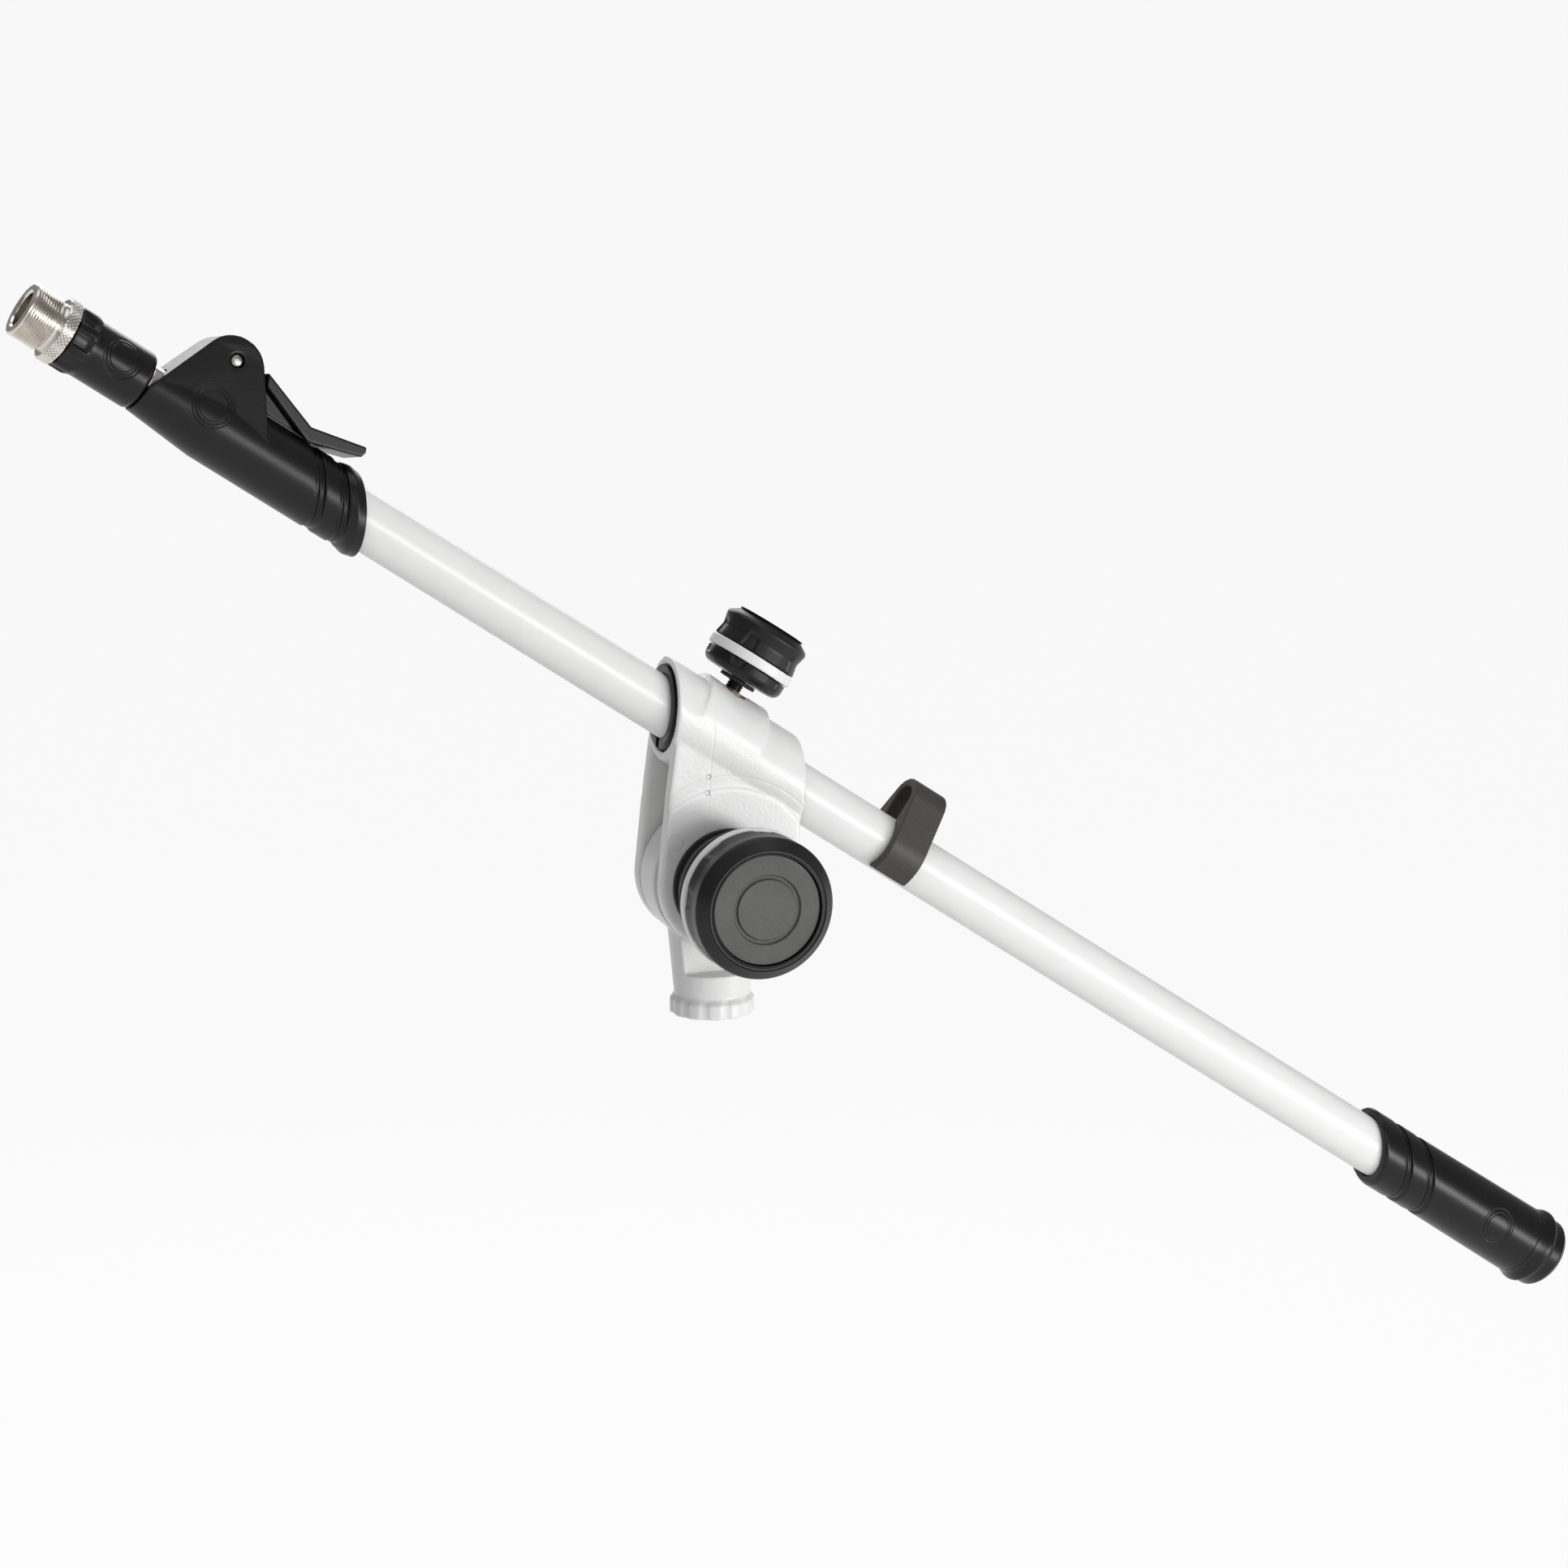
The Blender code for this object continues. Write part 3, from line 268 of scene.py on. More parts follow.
# %% [markdown]
# The stage is a pale floor, low enough for the boom to swing over it, and a white world. The
# lamps are large and soft. The key lamp is a long strip, placed where the boom's round side
# mirrors it to the camera along its whole length, so that the black plastic gets its soft
# highlight. The others fill from the front, from above and from behind, so that every side is
# lit. Light Path shows the camera, mirrors and glass a floor that is nearly plain white, with
# room for a faint shadow. The world is white to the camera and dimmer as a light.

# %% Stage and lamps
FLOOR_HEIGHT, FLOOR_REACH = -0.46, 60.0
FLOOR_WHITE = 0.92
WORLD_LIGHT = 0.26
MIDDLE = Vector((0.03, 0.0, 0.04))

floor_mesh = bpy.data.meshes.new("floor")
corners = [(u * FLOOR_REACH, v * FLOOR_REACH) for u, v in ((-1, -1), (1, -1), (1, 1), (-1, 1))]
floor_mesh.from_pydata([(x, y, FLOOR_HEIGHT) for x, y in corners], [], [(0, 1, 2, 3)])
floor = added("floor", floor_mesh)
floor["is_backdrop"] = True


def seen_white(made, share):
    """Mixes plain white into a finish for rays from the camera, a mirror or glass."""
    path = made.tree.nodes.new("ShaderNodeLightPath").outputs
    seen = Wire(made, path["Is Camera Ray"])
    for ray in ("Is Glossy Ray", "Is Transmission Ray"):
        seen = seen.math("MAXIMUM", seen, Wire(made, path[ray]))
    white = made.node("ShaderNodeEmission", {}, {"Strength": 1.0})
    plain = Wire(made, made.shader.outputs[0])
    mix = made.node("ShaderNodeMixShader", {}, [seen * share, plain, white])
    made.tree.links.new(mix.socket, made.tree.nodes["Material Output"].inputs["Surface"])


paper = Finish("floor_paper", None, (0.90, 0.90, 0.90), 0.9)
seen_white(paper, FLOOR_WHITE)
floor_mesh.materials.append(paper.material)

world = bpy.data.worlds.new("studio")
bpy.context.scene.world = world
world.use_nodes = True
background = world.node_tree.nodes["Background"]
background.inputs["Color"].default_value = (1, 1, 1, 1)
sky = world.node_tree.nodes.new("ShaderNodeLightPath")
bright = world.node_tree.nodes.new("ShaderNodeMapRange")
world.node_tree.links.new(sky.outputs["Is Camera Ray"], bright.inputs["Value"])
bright.inputs["To Min"].default_value = WORLD_LIGHT
bright.inputs["To Max"].default_value = 1.0
world.node_tree.links.new(bright.outputs[0], background.inputs["Strength"])


def softbox(name, place, width, height, power, lean=0.0):
    """A rectangular lamp that faces the middle. lean turns it about its own line of sight."""
    lamp = bpy.data.lights.new(name, "AREA")
    lamp.shape = "RECTANGLE"
    lamp.size = width
    lamp.size_y = height
    lamp.energy = power
    holder = added(name, lamp)
    holder.visible_camera = False
    sight = (MIDDLE - Vector(place)).to_track_quat("-Z", "Y").to_matrix().to_4x4()
    holder.matrix_world = Matrix.Translation(place) @ (sight @ rotation(math.radians(lean), "Z"))


softbox("key_lamp", (0.60, -1.10, -0.01), 1.15, 0.28, 10.2, lean=-33.6)
softbox("front_lamp", (-0.35, -1.20, 0.85), 1.2, 0.8, 2.6)
softbox("top_lamp", (0.1, 0.1, 1.4), 1.6, 0.8, 5.0)
softbox("back_lamp", (0.3, 1.3, 0.7), 1.2, 0.8, 8.0)
print("stage and four lamps are up")

# %% [markdown]
# Most pieces are turned. A profile of (along, radius) points is spun about x. Real edges are
# never knife sharp, so softened cuts each corner back and rounds it with a few extra points. One
# more point close to each end of the round keeps the flats beside it flat in the light. Where a
# profile isn't closed, as on a rod, turned_solid gives it flat ends.

# %% Turned shapes
MOST_OF_SIDE = 0.42
GUARD, GUARD_SHARE = 0.06, 0.05


def softened(profile, radius=0.35, steps=4, closed=True):
    """Rounds each corner of a profile, by less where its sides are short."""
    points = [Vector((*p, 0.0)[:3]) for p in profile]
    count = len(points)
    made = []
    for i, point in enumerate(points):
        if not closed and i in (0, count - 1):
            made.append(point)
            continue
        before = points[i - 1] - point
        after = points[(i + 1) % count] - point
        start = point + before.normalized() * min(radius, MOST_OF_SIDE * before.length)
        end = point + after.normalized() * min(radius, MOST_OF_SIDE * after.length)
        made.append(start + before.normalized() * min(GUARD, GUARD_SHARE * before.length))
        for step in range(steps + 1):
            share = step / steps
            made.append(start.lerp(point, share).lerp(point.lerp(end, share), share))
        made.append(end + after.normalized() * min(GUARD, GUARD_SHARE * after.length))
    return made


def turned(profile, steps=144, closed=True):
    """Spins a profile about x. A third value leans a ring, so that it is further forward on top."""
    shape = bmesh.new()
    rings = []
    for point in profile:
        along, radius, lean = (*point, 0.0)[:3]
        ring = []
        for step in range(steps):
            angle = 2 * math.pi * step / steps
            up = radius * math.cos(angle)
            ring.append(shape.verts.new((along - lean * up, radius * math.sin(angle), up)))
        rings.append(ring)
    pairs = list(zip(rings, rings[1:]))
    if closed:
        pairs.append((rings[-1], rings[0]))
    else:
        shape.faces.new(rings[0])
        shape.faces.new(rings[-1])
    for here, there in pairs:
        for step in range(steps):
            after = (step + 1) % steps
            shape.faces.new((here[step], here[after], there[after], there[step]))
    bmesh.ops.recalc_face_normals(shape, faces=shape.faces)
    return shape


def turned_solid(profile, softness, steps=144):
    """Softens and spins an open profile, so that a flat face closes each end."""
    return turned(softened(profile, softness, closed=False), steps, closed=False)


def rows_between(profile, longest):
    """Adds points to a profile so that none of its steps is longer than this."""
    made = []
    for first, second in zip(profile, profile[1:] + profile[:1]):
        count = max(1, math.ceil((second - first).length / longest))
        made += [first.lerp(second, i / count) for i in range(count)]
    return made


def smooth_rise(value, low, high):
    """0 up to low and 1 from high, with a smooth rise between."""
    share = min(1.0, max(0.0, (value - low) / (high - low)))
    return share * share * (3 - 2 * share)


def pushed(shape, shift):
    """Moves each point of a turned shape outwards by shift(along, angle, radius) millimetres."""
    for vert in shape.verts:
        radius = math.hypot(vert.co.y, vert.co.z)
        if radius > 1e-6:
            more = shift(vert.co.x, math.atan2(vert.co.y, vert.co.z), radius)
            vert.co.y *= 1 + more / radius
            vert.co.z *= 1 + more / radius
    return shape


def piece(name, shape, place, finish, body, *nodes, sharp=38):
    """Makes a finished object of a shape in millimetres and puts it in place of CAD nodes."""
    if isinstance(shape, bpy.types.Mesh):
        mesh = shape
        mesh.name = name
    else:
        mesh = bpy.data.meshes.new(name)
        shape.to_mesh(mesh)
        shape.free()
    mesh.transform(place @ Matrix.Scale(MM, 4))
    mesh.shade_smooth()
    mesh.set_sharp_from_angle(angle=math.radians(sharp))
    mesh.materials.clear()
    mesh.materials.append(finish.material)
    obj = added(name, mesh)
    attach(obj, body)
    if nodes:
        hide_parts(*nodes)
    print(name, len(mesh.polygons), "faces")


print("turning ready")

# %% [markdown]
# Castings and mouldings are cut from simple shapes with Booleans, then remade with small even
# faces and smoothed a little. The smoothing rolls every edge over and fills every inner corner,
# as sand, shot and paint do. Voxel size decides how small a detail survives.

# %% Carved and cast shapes


def object_of(name, shape):
    """Makes an object of a bmesh, with its faces turned outwards. The bmesh is used up."""
    mesh = bpy.data.meshes.new(name)
    bmesh.ops.recalc_face_normals(shape, faces=shape.faces)
    shape.to_mesh(mesh)
    shape.free()
    return added(name, mesh)


def finished_mesh(work):
    """The mesh of an object with its modifiers applied. The object itself is removed."""
    graph = bpy.context.evaluated_depsgraph_get()
    mesh = bpy.data.meshes.new_from_object(work.evaluated_get(graph))
    bpy.data.objects.remove(work, do_unlink=True)
    return mesh


def carved(base, cuts, voxel=0.0, passes=0):
    """A base shape with others added or cut away in turn, then remade and smoothed if asked."""
    work = object_of("work", base)
    tools = []
    for operation, shape in cuts:
        tool = object_of("tool", shape)
        tools.append(tool)
        step = work.modifiers.new("step", "BOOLEAN")
        step.operation = operation
        step.solver = "EXACT"
        step.object = tool
    if voxel:
        remade = work.modifiers.new("remade", "REMESH")
        remade.mode = "VOXEL"
        remade.voxel_size = voxel
    if passes:
        smoothing = work.modifiers.new("smoothing", "SMOOTH")
        smoothing.factor = 0.5
        smoothing.iterations = passes
    mesh = finished_mesh(work)
    for tool in tools:
        bpy.data.objects.remove(tool, do_unlink=True)
    return mesh


def rod(low, high, radius, steps=144):
    return turned([(low, radius), (high, radius)], steps, closed=False)


def prism(outline, low, high, along="Y"):
    """Extrudes an outline along y, from (x, z) points, or along x, from (y, z) points."""
    shape = bmesh.new()
    sides = []
    for depth in (low, high):
        corners = [(u, depth, v) if along == "Y" else (depth, u, v) for u, v in outline]
        sides.append([shape.verts.new(corner) for corner in corners])
    near, far = sides
    shape.faces.new(near)
    shape.faces.new(far)
    for first in range(len(outline)):
        second = (first + 1) % len(outline)
        shape.faces.new((near[first], near[second], far[second], far[first]))
    return shape


def block(low, high):
    """A box between its lowest and highest corners."""
    (x0, y0, z0), (x1, y1, z1) = low, high
    return prism([(x0, z0), (x1, z0), (x1, z1), (x0, z1)], y0, y1)


def both_sides(low, high):
    """A span on the near side of the middle, and its mirror image on the far side."""
    return (-high, -low), (low, high)


def faced(shape, direction, at=(0.0, 0.0, 0.0)):
    """Turns a shape made along x to lie along a direction, and moves it."""
    turn = Vector((1, 0, 0)).rotation_difference(Vector(direction)).to_matrix().to_4x4()
    bmesh.ops.transform(shape, matrix=Matrix.Translation(at) @ turn, verts=shape.verts)
    return shape


def arc(centre, radius, start, end, points):
    """Points on an arc between two angles in degrees."""
    angles = [math.radians(start + (end - start) * i / (points - 1)) for i in range(points)]
    return [(centre[0] + radius * math.cos(a), centre[1] + radius * math.sin(a)) for a in angles]


def hexagon(across_flats):
    return arc((0, 0), across_flats / math.sqrt(3), 0, 300, 6)


def tangent_angle(point, centre, radius, side):
    """The angle at which a line from a point touches a circle."""
    gap = Vector(point) - Vector(centre)
    return math.degrees(math.atan2(gap.y, gap.x) + side * math.acos(radius / gap.length))


print("carving ready")

# %% [markdown]
# Knurls and ridges repeat round an axis. One Geometry Nodes tree makes both: it places points in
# rows along x, turns each one a step further round, puts a copy of the small shape on each, and
# makes them real faces. Each row can be shifted by a part of a step against the one before it.

# %% Rows round an axis
tree = bpy.data.node_groups.new("rows_round_axis", "GeometryNodeTree")
sockets = {}
for label, kind, value in (
    ("Shape", "NodeSocketGeometry", None),
    ("Count", "NodeSocketInt", 8),
    ("Rows", "NodeSocketInt", 1),
    ("Row Step", "NodeSocketFloat", 1.0),
    ("Row Shift", "NodeSocketFloat", 0.0),
    ("First Angle", "NodeSocketFloat", 0.0),
    ("Finish", "NodeSocketMaterial", None),
):
    socket = tree.interface.new_socket(label, in_out="INPUT", socket_type=kind)
    if value is not None:
        socket.default_value = value
    sockets[label] = socket.identifier
tree.interface.new_socket("Shape", in_out="OUTPUT", socket_type="NodeSocketGeometry")


def tree_node(kind, **links):
    """Adds a node. A link is named as its socket, with _ for a space, or s and its number."""
    made = tree.nodes.new(kind)
    for key, value in links.items():
        if key == "operation":
            made.operation = value
            continue
        socket = made.inputs[int(key[1:]) if key[1:].isdigit() else key.replace("_", " ")]
        if isinstance(value, bpy.types.NodeSocket):
            tree.links.new(value, socket)
        else:
            socket.default_value = value
    return made


def tree_math(operation, first, second=0.0):
    return tree_node("ShaderNodeMath", operation=operation, s0=first, s1=second).outputs[0]


given = tree.nodes.new("NodeGroupInput").outputs
index = tree_node("GeometryNodeInputIndex").outputs[0]
row = tree_math("FLOOR", tree_math("DIVIDE", index, given["Count"]))
column = tree_math("SUBTRACT", index, tree_math("MULTIPLY", row, given["Count"]))
shift = tree_math("MULTIPLY", row, given["Row Shift"])
share = tree_math("DIVIDE", tree_math("ADD", column, shift), given["Count"])
angle = tree_math("ADD", tree_math("MULTIPLY", share, 2 * math.pi), given["First Angle"])
along = tree_math("MULTIPLY", row, given["Row Step"])
many = tree_math("MULTIPLY", given["Count"], given["Rows"])
offset = tree_node("ShaderNodeCombineXYZ", X=along).outputs[0]
turn = tree_node("ShaderNodeCombineXYZ", X=angle).outputs[0]
points = tree_node("GeometryNodePoints", Count=many, Position=offset).outputs[0]
shapes = given["Shape"]
copies = tree_node("GeometryNodeInstanceOnPoints", Points=points, Instance=shapes, Rotation=turn)
real = tree_node("GeometryNodeRealizeInstances", Geometry=copies.outputs[0])
painted = tree_node("GeometryNodeSetMaterial", Geometry=real.outputs[0], Material=given["Finish"])
tree.links.new(painted.outputs[0], tree.nodes.new("NodeGroupOutput").inputs[0])


def repeated(shape, finish, count, rows=1, row_step=1.0, row_shift=0.0, first_angle=0.0):
    """Copies of a small shape round x, as one plain mesh."""
    work = object_of("work", shape)
    rule = work.modifiers.new("rows", "NODES")
    rule.node_group = tree
    rule[sockets["Count"]] = count
    rule[sockets["Rows"]] = rows
    rule[sockets["Row Step"]] = row_step
    rule[sockets["Row Shift"]] = row_shift
    rule[sockets["First Angle"]] = first_angle
    rule[sockets["Finish"]] = finish.material
    return finished_mesh(work)


print("tree takes", ", ".join(sockets))

# %% [markdown]
# White parts are powder coated. The coat is thick and slightly pitted, like an orange's skin,
# and the casting under it adds slower waves. On the head a parting line, the pad's edge, round
# marks and two small pits show through the coat. They are relief at the scale of the material.

# %% White powder coat
WHITE = (0.83, 0.83, 0.825)


def powder_coat(name, peel):
    """Powder coat. peel is the depth of its pitted skin in metres."""
    made = Finish(name, "white_paint", WHITE, 0.36, Coat_Weight=0.15, Coat_Roughness=0.22)
    pits = made.noise(0.0011)
    waves = made.noise(0.009, 3.0)
    made.raise_by((pits - 0.5) * peel + (waves - 0.5) * (2 * peel))
    made.vary_roughness(pits * 0.6 + waves * 0.4, 0.16)
    made.vary_colour(waves, 0.012)
    return made


tube_coat = powder_coat("tube_coat", 0.00002).relief()
rim_coat = powder_coat("rim_coat", 0.00001).relief()
post_coat = powder_coat("post_coat", 0.00009).relief()

head_coat = powder_coat("head_coat", 0.00009)
near = heading(head, 0, -1, 0)
head_coat.ring_marks(spot(head, 0, -11, 0), near, (0.03105,), 0.0005, 0.00007)
head_coat.ring_marks(spot(head, -19.4, -12, 2.3), near, (0.0023,), 0.00035, 0.00010, reach=0.003)
head_coat.ring_marks(spot(head, -15.0, -11.6, 30.7), near, (0.0047, 0.0036), 0.0004, 0.00003)
gap = head_coat.vector("SUBTRACT", head_coat.place, spot(head, 0, 0, 0))
parting = head_coat.vector("DOT_PRODUCT", gap, heading(head, 0.869, 0, 0.495), output="Value")
nearness = head_coat.vector("DOT_PRODUCT", gap, near, output="Value")
on_near = head_coat.soft_step(nearness, 0.006, 0.007)
head_coat.raise_by(head_coat.groove_at(parting, -0.0069, 0.0005) * on_near * -0.00006)
for pit_x, pit_z in ((-21.7, 23.2), (-19.5, 19.1)):
    distance = head_coat.line_distance(spot(head, pit_x, -11.8, pit_z), near)[0]
    inside = 1 - head_coat.soft_step(distance, 0.0004, 0.0009)
    head_coat.raise_by(inside * on_near * -0.0004)
head_coat.relief()
print("white coats ready")

# %% [markdown]
# Black parts are moulded in nylon. The mould's skin leaves a fine grain, which spreads each
# highlight into a soft band. The knob's ring is softer and duller, its face disc is grey with
# coarser grains, and the clip is a warmer grey. The housing, the adapter's cap and the grip each
# have a bare round field with plain rings round it.

# %% Plastics and rubber


def moulded(name, slot, colour, roughness, grain, size=0.00035, speckle=0.25, shine=0.31):
    """Moulded plastic whose grain has this depth and size in metres."""
    made = Finish(name, slot, colour, roughness, Specular_IOR_Level=shine)
    grains = made.noise(size, 3.0)
    flow = made.noise(0.012, 3.0)
    made.raise_by((grains - 0.5) * grain)
    made.vary_roughness(grains * 0.6 + flow * 0.4, 0.16)
    made.vary_colour(grains * 0.75 + flow * 0.25, speckle)
    return made


def field_rings(made, centre, radii, out=None):
    """Sinks two plain rings round a bare field on the boom, and finishes the relief."""
    out = heading(boom, *(out or (0, *centre[1:])))
    made.ring_marks(spot(boom, *centre), out, radii, 0.0006, 0.00035)
    made.relief()


BLACK = (0.006, 0.006, 0.0065)
RUBBER_BLACK = (0.010, 0.010, 0.0105)
CLIP_GREY = (0.050, 0.047, 0.042)
FACE_GREY = (0.095, 0.095, 0.090)
black = moulded("black_nylon", "black_plastic", BLACK, 0.32, 0.000016).relief()
rubber = moulded("knob_rubber_skin", "dark_rubber", RUBBER_BLACK, 0.38, 0.000018).relief()
clip_nylon = moulded("clip_nylon", "clip_plastic", CLIP_GREY, 0.42, 0.00006).relief()
face_grey = moulded("face_grey", "grey_face", FACE_GREY, 0.55, 0.00006, 0.00025, speckle=0.30)
face_grey.relief()

DRAFT = math.radians(6.9)
cheek_out = (0, -math.cos(DRAFT), math.sin(DRAFT))
housing_black = moulded("housing_black", "black_plastic", BLACK, 0.33, 0.000022, 0.0003)
field_rings(housing_black, (-199.3, -9.9, 3.3), (0.0057, 0.0047), cheek_out)
cap_black = moulded("adapter_cap_black", "black_plastic", BLACK, 0.30, 0.000014)
field_rings(cap_black, (-226.9, -8.24, 1.66), (0.0052, 0.0042))
grip_black = moulded("grip_black", "black_plastic", BLACK, 0.29, 0.000014)
field_rings(grip_black, (283.5, -10.64, -2.11), (0.0051, 0.0040))
print("plastics ready")

# %% [markdown]
# The adapter is nickel plated brass, so it is a mirror that is slightly warm, with faint rings
# left by the lathe. The rings are noise that changes fast along the boom and slowly across it.
# The CAD nodes that stay visible inside get their metal or fibre here too.

# %% Metals


def metal(name, slot, colour, roughness, ring=0.0, place=None):
    """Metal with smudges, and with lathe rings of this depth about a frame's x axis."""
    made = Finish(name, slot, colour, roughness, 1.0)
    smudge = made.noise(0.006, 3.0)
    if place is not None:
        distance, along = made.line_distance(spot(place, 0, 0, 0), heading(place, 1, 0, 0))
        thin = made.node("ShaderNodeCombineXYZ", {}, {"X": along * 40.0, "Y": distance * 0.4})
        lathe = made.node("ShaderNodeTexNoise", {}, {"Vector": thin, "Scale": 120.0}, "Fac")
        made.raise_by((lathe - 0.5) * ring)
    else:
        made.raise_by((made.noise(0.0004) - 0.5) * 0.00001)
    made.vary_roughness(smudge, 0.12)
    made.vary_colour(smudge, 0.06)
    return made.relief()


nickel = metal("nickel_plate", "nickel", (0.70, 0.665, 0.62), 0.20, 0.000004, boom)
steel = metal("bright_steel", "steel", (0.36, 0.36, 0.35), 0.36)
dark_steel = metal("blackened_steel", "dark_steel", (0.11, 0.095, 0.085), 0.38)
brass = metal("turned_brass", "brass", (0.70, 0.55, 0.27), 0.30)
oiled_brass = metal("oiled_brass", "brass", (0.10, 0.085, 0.06), 0.42)
fibre = moulded("fibre_washer", "fibre", (0.03, 0.03, 0.03), 0.7, 0.00008).relief()

for node, finish in (
    ("stand_insert", brass),
    ("pivot_knob_insert", brass),
    ("clamp_insert", oiled_brass),
    ("friction_disc_near", fibre),
    ("friction_disc_far", fibre),
    ("tube_sleeve", fibre),
):
    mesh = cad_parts[node].data
    mesh.materials.clear()
    mesh.materials.append(finish.material)
print("metals ready")

# %% [markdown]
# The tube is drawn steel under powder coat. It is a plain ring with slightly rounded ends.

# %% Boom tube
FRONT, REAR = -186.7, 299.0
TUBE_R, TUBE_BORE_R = 8.0, 6.8
tube_ring = [(FRONT, TUBE_R), (REAR, TUBE_R), (REAR, TUBE_BORE_R), (FRONT, TUBE_BORE_R)]
piece("tube", turned(softened(tube_ring, 0.4)), boom, tube_coat, "boom", "boom_tube")

# %% [markdown]
# The post is one casting: a fluted collar with the stand's thread in it, a neck with two flats
# cut into it, and a round tang for the pivot. The flats end in soft hollows at the bottom.

# %% Post
TANG_R, TANG_HALF, NECK_R = 19.6, 5.5, 12.9
NECK_TOP = PIVOT_HEIGHT - math.sqrt(TANG_R**2 - NECK_R**2) + 1.5
FLATS_LOW = 12.9
BOLT_HOLE_R = 4.2
neck = turned([(4.0, 10.2), (4.0, 10.8), (NECK_TOP, NECK_R)], closed=False)
collar = [(0.0, 8.0), (0.0, 12.2), (4.3, 12.2), (5.8, 10.8), (8.0, 10.85), (8.0, 8.0)]
collar_shape = turned(rows_between(softened(collar, 0.5), 0.5), 288)


def flutes(along, angle, radius):
    """Twelve shallow flutes in the collar's outside."""
    inside = smooth_rise(radius, 11.0, 11.9)
    return -0.42 * inside * max(0.0, math.cos(12 * angle)) ** 0.7


pushed(collar_shape, flutes)
tang = prism(arc((0.0, PIVOT_HEIGHT), TANG_R, 0, 357.5, 144), -TANG_HALF, TANG_HALF)
post_steps = [("UNION", faced(collar_shape, (0, 0, 1)))]
for low, high in both_sides(TANG_HALF, 40):
    post_steps.append(("DIFFERENCE", block((-40, low, FLATS_LOW), (40, high, PIVOT_HEIGHT))))
post_steps += [
    ("UNION", tang),
    ("DIFFERENCE", faced(rod(-30, 30, BOLT_HOLE_R, 64), (0, 1, 0), (0, 0, PIVOT_HEIGHT))),
    ("DIFFERENCE", faced(rod(-1, 10.5, 9.9), (0, 0, 1))),
]
post_mesh = carved(faced(neck, (0, 0, 1)), post_steps, 0.34, 3)
piece("post", post_mesh, stand, post_coat, "post", "swivel_post", sharp=180)

# %% [markdown]
# The head is a second casting. A barrel with slanting ends carries the tube, a raised saddle
# takes the clamp screw, and two ears reach down on both sides of the post's tang. A round pad
# is raised on each ear, and the far ear has a boss with a six-sided pocket for the bolt.

# %% Clamp head
BARREL_R, BARREL_FRONT, BARREL_REAR = 13.1, -39.6, 6.4
EAR_R = 19.4


def ear_outline():
    """An ear from the side: its round end, two straight flanks, and a top inside the barrel."""
    drop = 0.6 * BARREL_R
    front = BARREL_FRONT + CUT_SLOPE * drop + 0.5
    rear = BARREL_REAR + CUT_SLOPE * drop - 0.5
    foot, top = BARREL_HEIGHT - drop, BARREL_HEIGHT - 2.6
    waist, shoulder = (-28.8, 13.0), (12.9, 21.4)
    start = tangent_angle(waist, (0, 0), EAR_R, 1)
    end = tangent_angle(shoulder, (0, 0), EAR_R, -1)
    round_end = arc((0, 0), EAR_R, start % 360, end % 360 + 360, 90)
    top_edge = [(rear - 2.0, top), (front, top)]
    return [(front, foot), waist, *round_end, shoulder, (rear, foot), *top_edge]


def ear_pad(low, high):
    """The round pad on an ear, cut to an outline a little inside the ear's own."""
    inner = prism([Vector(p) * 0.985 for p in ear_outline()], low, high)
    pad = bmesh.new()
    pad.from_mesh(carved(inner, [("INTERSECT", faced(rod(-30, 30, 27.5), (0, 1, 0)))]))
    return pad


barrel_ends = [(BARREL_FRONT, BARREL_R, CUT_SLOPE), (BARREL_REAR, BARREL_R, CUT_SLOPE)]
head_base = faced(turned(barrel_ends, closed=False), (1, 0, 0), (0, 0, BARREL_HEIGHT))
saddle = faced(rod(-33.6, -12.6, 13.0), (1, 0, 0), (0, 0, BARREL_HEIGHT + 1.9))
head_steps = [("UNION", saddle)]
for ear, pad in zip(both_sides(7.6, 11.8), both_sides(10.8, 12.2)):
    head_steps += [("UNION", prism(ear_outline(), *ear)), ("UNION", ear_pad(*pad))]
head_steps += [
    ("UNION", faced(rod(8.6, 17.4, 12.0), (0, 1, 0))),
    ("DIFFERENCE", faced(rod(-80, 80, 10.9), (1, 0, 0), (0, 0, BARREL_HEIGHT))),
    ("DIFFERENCE", faced(rod(-22.4, 22.4, BOLT_HOLE_R, 64), (0, 1, 0))),
    ("DIFFERENCE", prism(hexagon(13.6), 12.1, 22.4)),
    ("DIFFERENCE", faced(rod(6.5, 26.2, 4.9, 64), (0, 0, 1), (SCREW_ALONG, 0, BARREL_HEIGHT))),
]
head_mesh = carved(head_base, head_steps, 0.44, 7)
piece("head_casting", head_mesh, head, head_coat, "head", "clamp_head", sharp=180)

# %% [markdown]
# The liner is a split nylon tube whose lip shows as a dark line at both ends of the barrel. A
# recess in its bore holds the thin sleeve on which the tube turns and slides.

# %% Liner
LINER_R, BORE_R = 10.6, 8.3
lip_front, lip_rear = BARREL_FRONT - 1.0, BARREL_REAR + 1.0
lips = ((lip_front, LINER_R), (lip_rear, LINER_R), (lip_rear, BORE_R), (lip_front, BORE_R))
liner_ring = softened([(along, radius, CUT_SLOPE) for along, radius in lips])
slit = block((-70, -1.2, -21), (40, 1.2, 0))
recess = rod(-33.3, 0.3, 9.4)
liner_mesh = carved(turned(liner_ring), [("DIFFERENCE", recess), ("DIFFERENCE", slit)])
piece("liner", liner_mesh, barrel, black, "head", "clamp_liner")

# %% [markdown]
# Both knobs are made alike: a black skirt, a white core whose rim shows as a band, a dark
# rubber ring with a bevelled front, and a grey disc in its face. Scoops round the ring's foot
# and the skirt's front give grip. They are pushed into the turned shape by a rule. The groove
# round the disc's face is turned into its profile.

# %% Knob rules


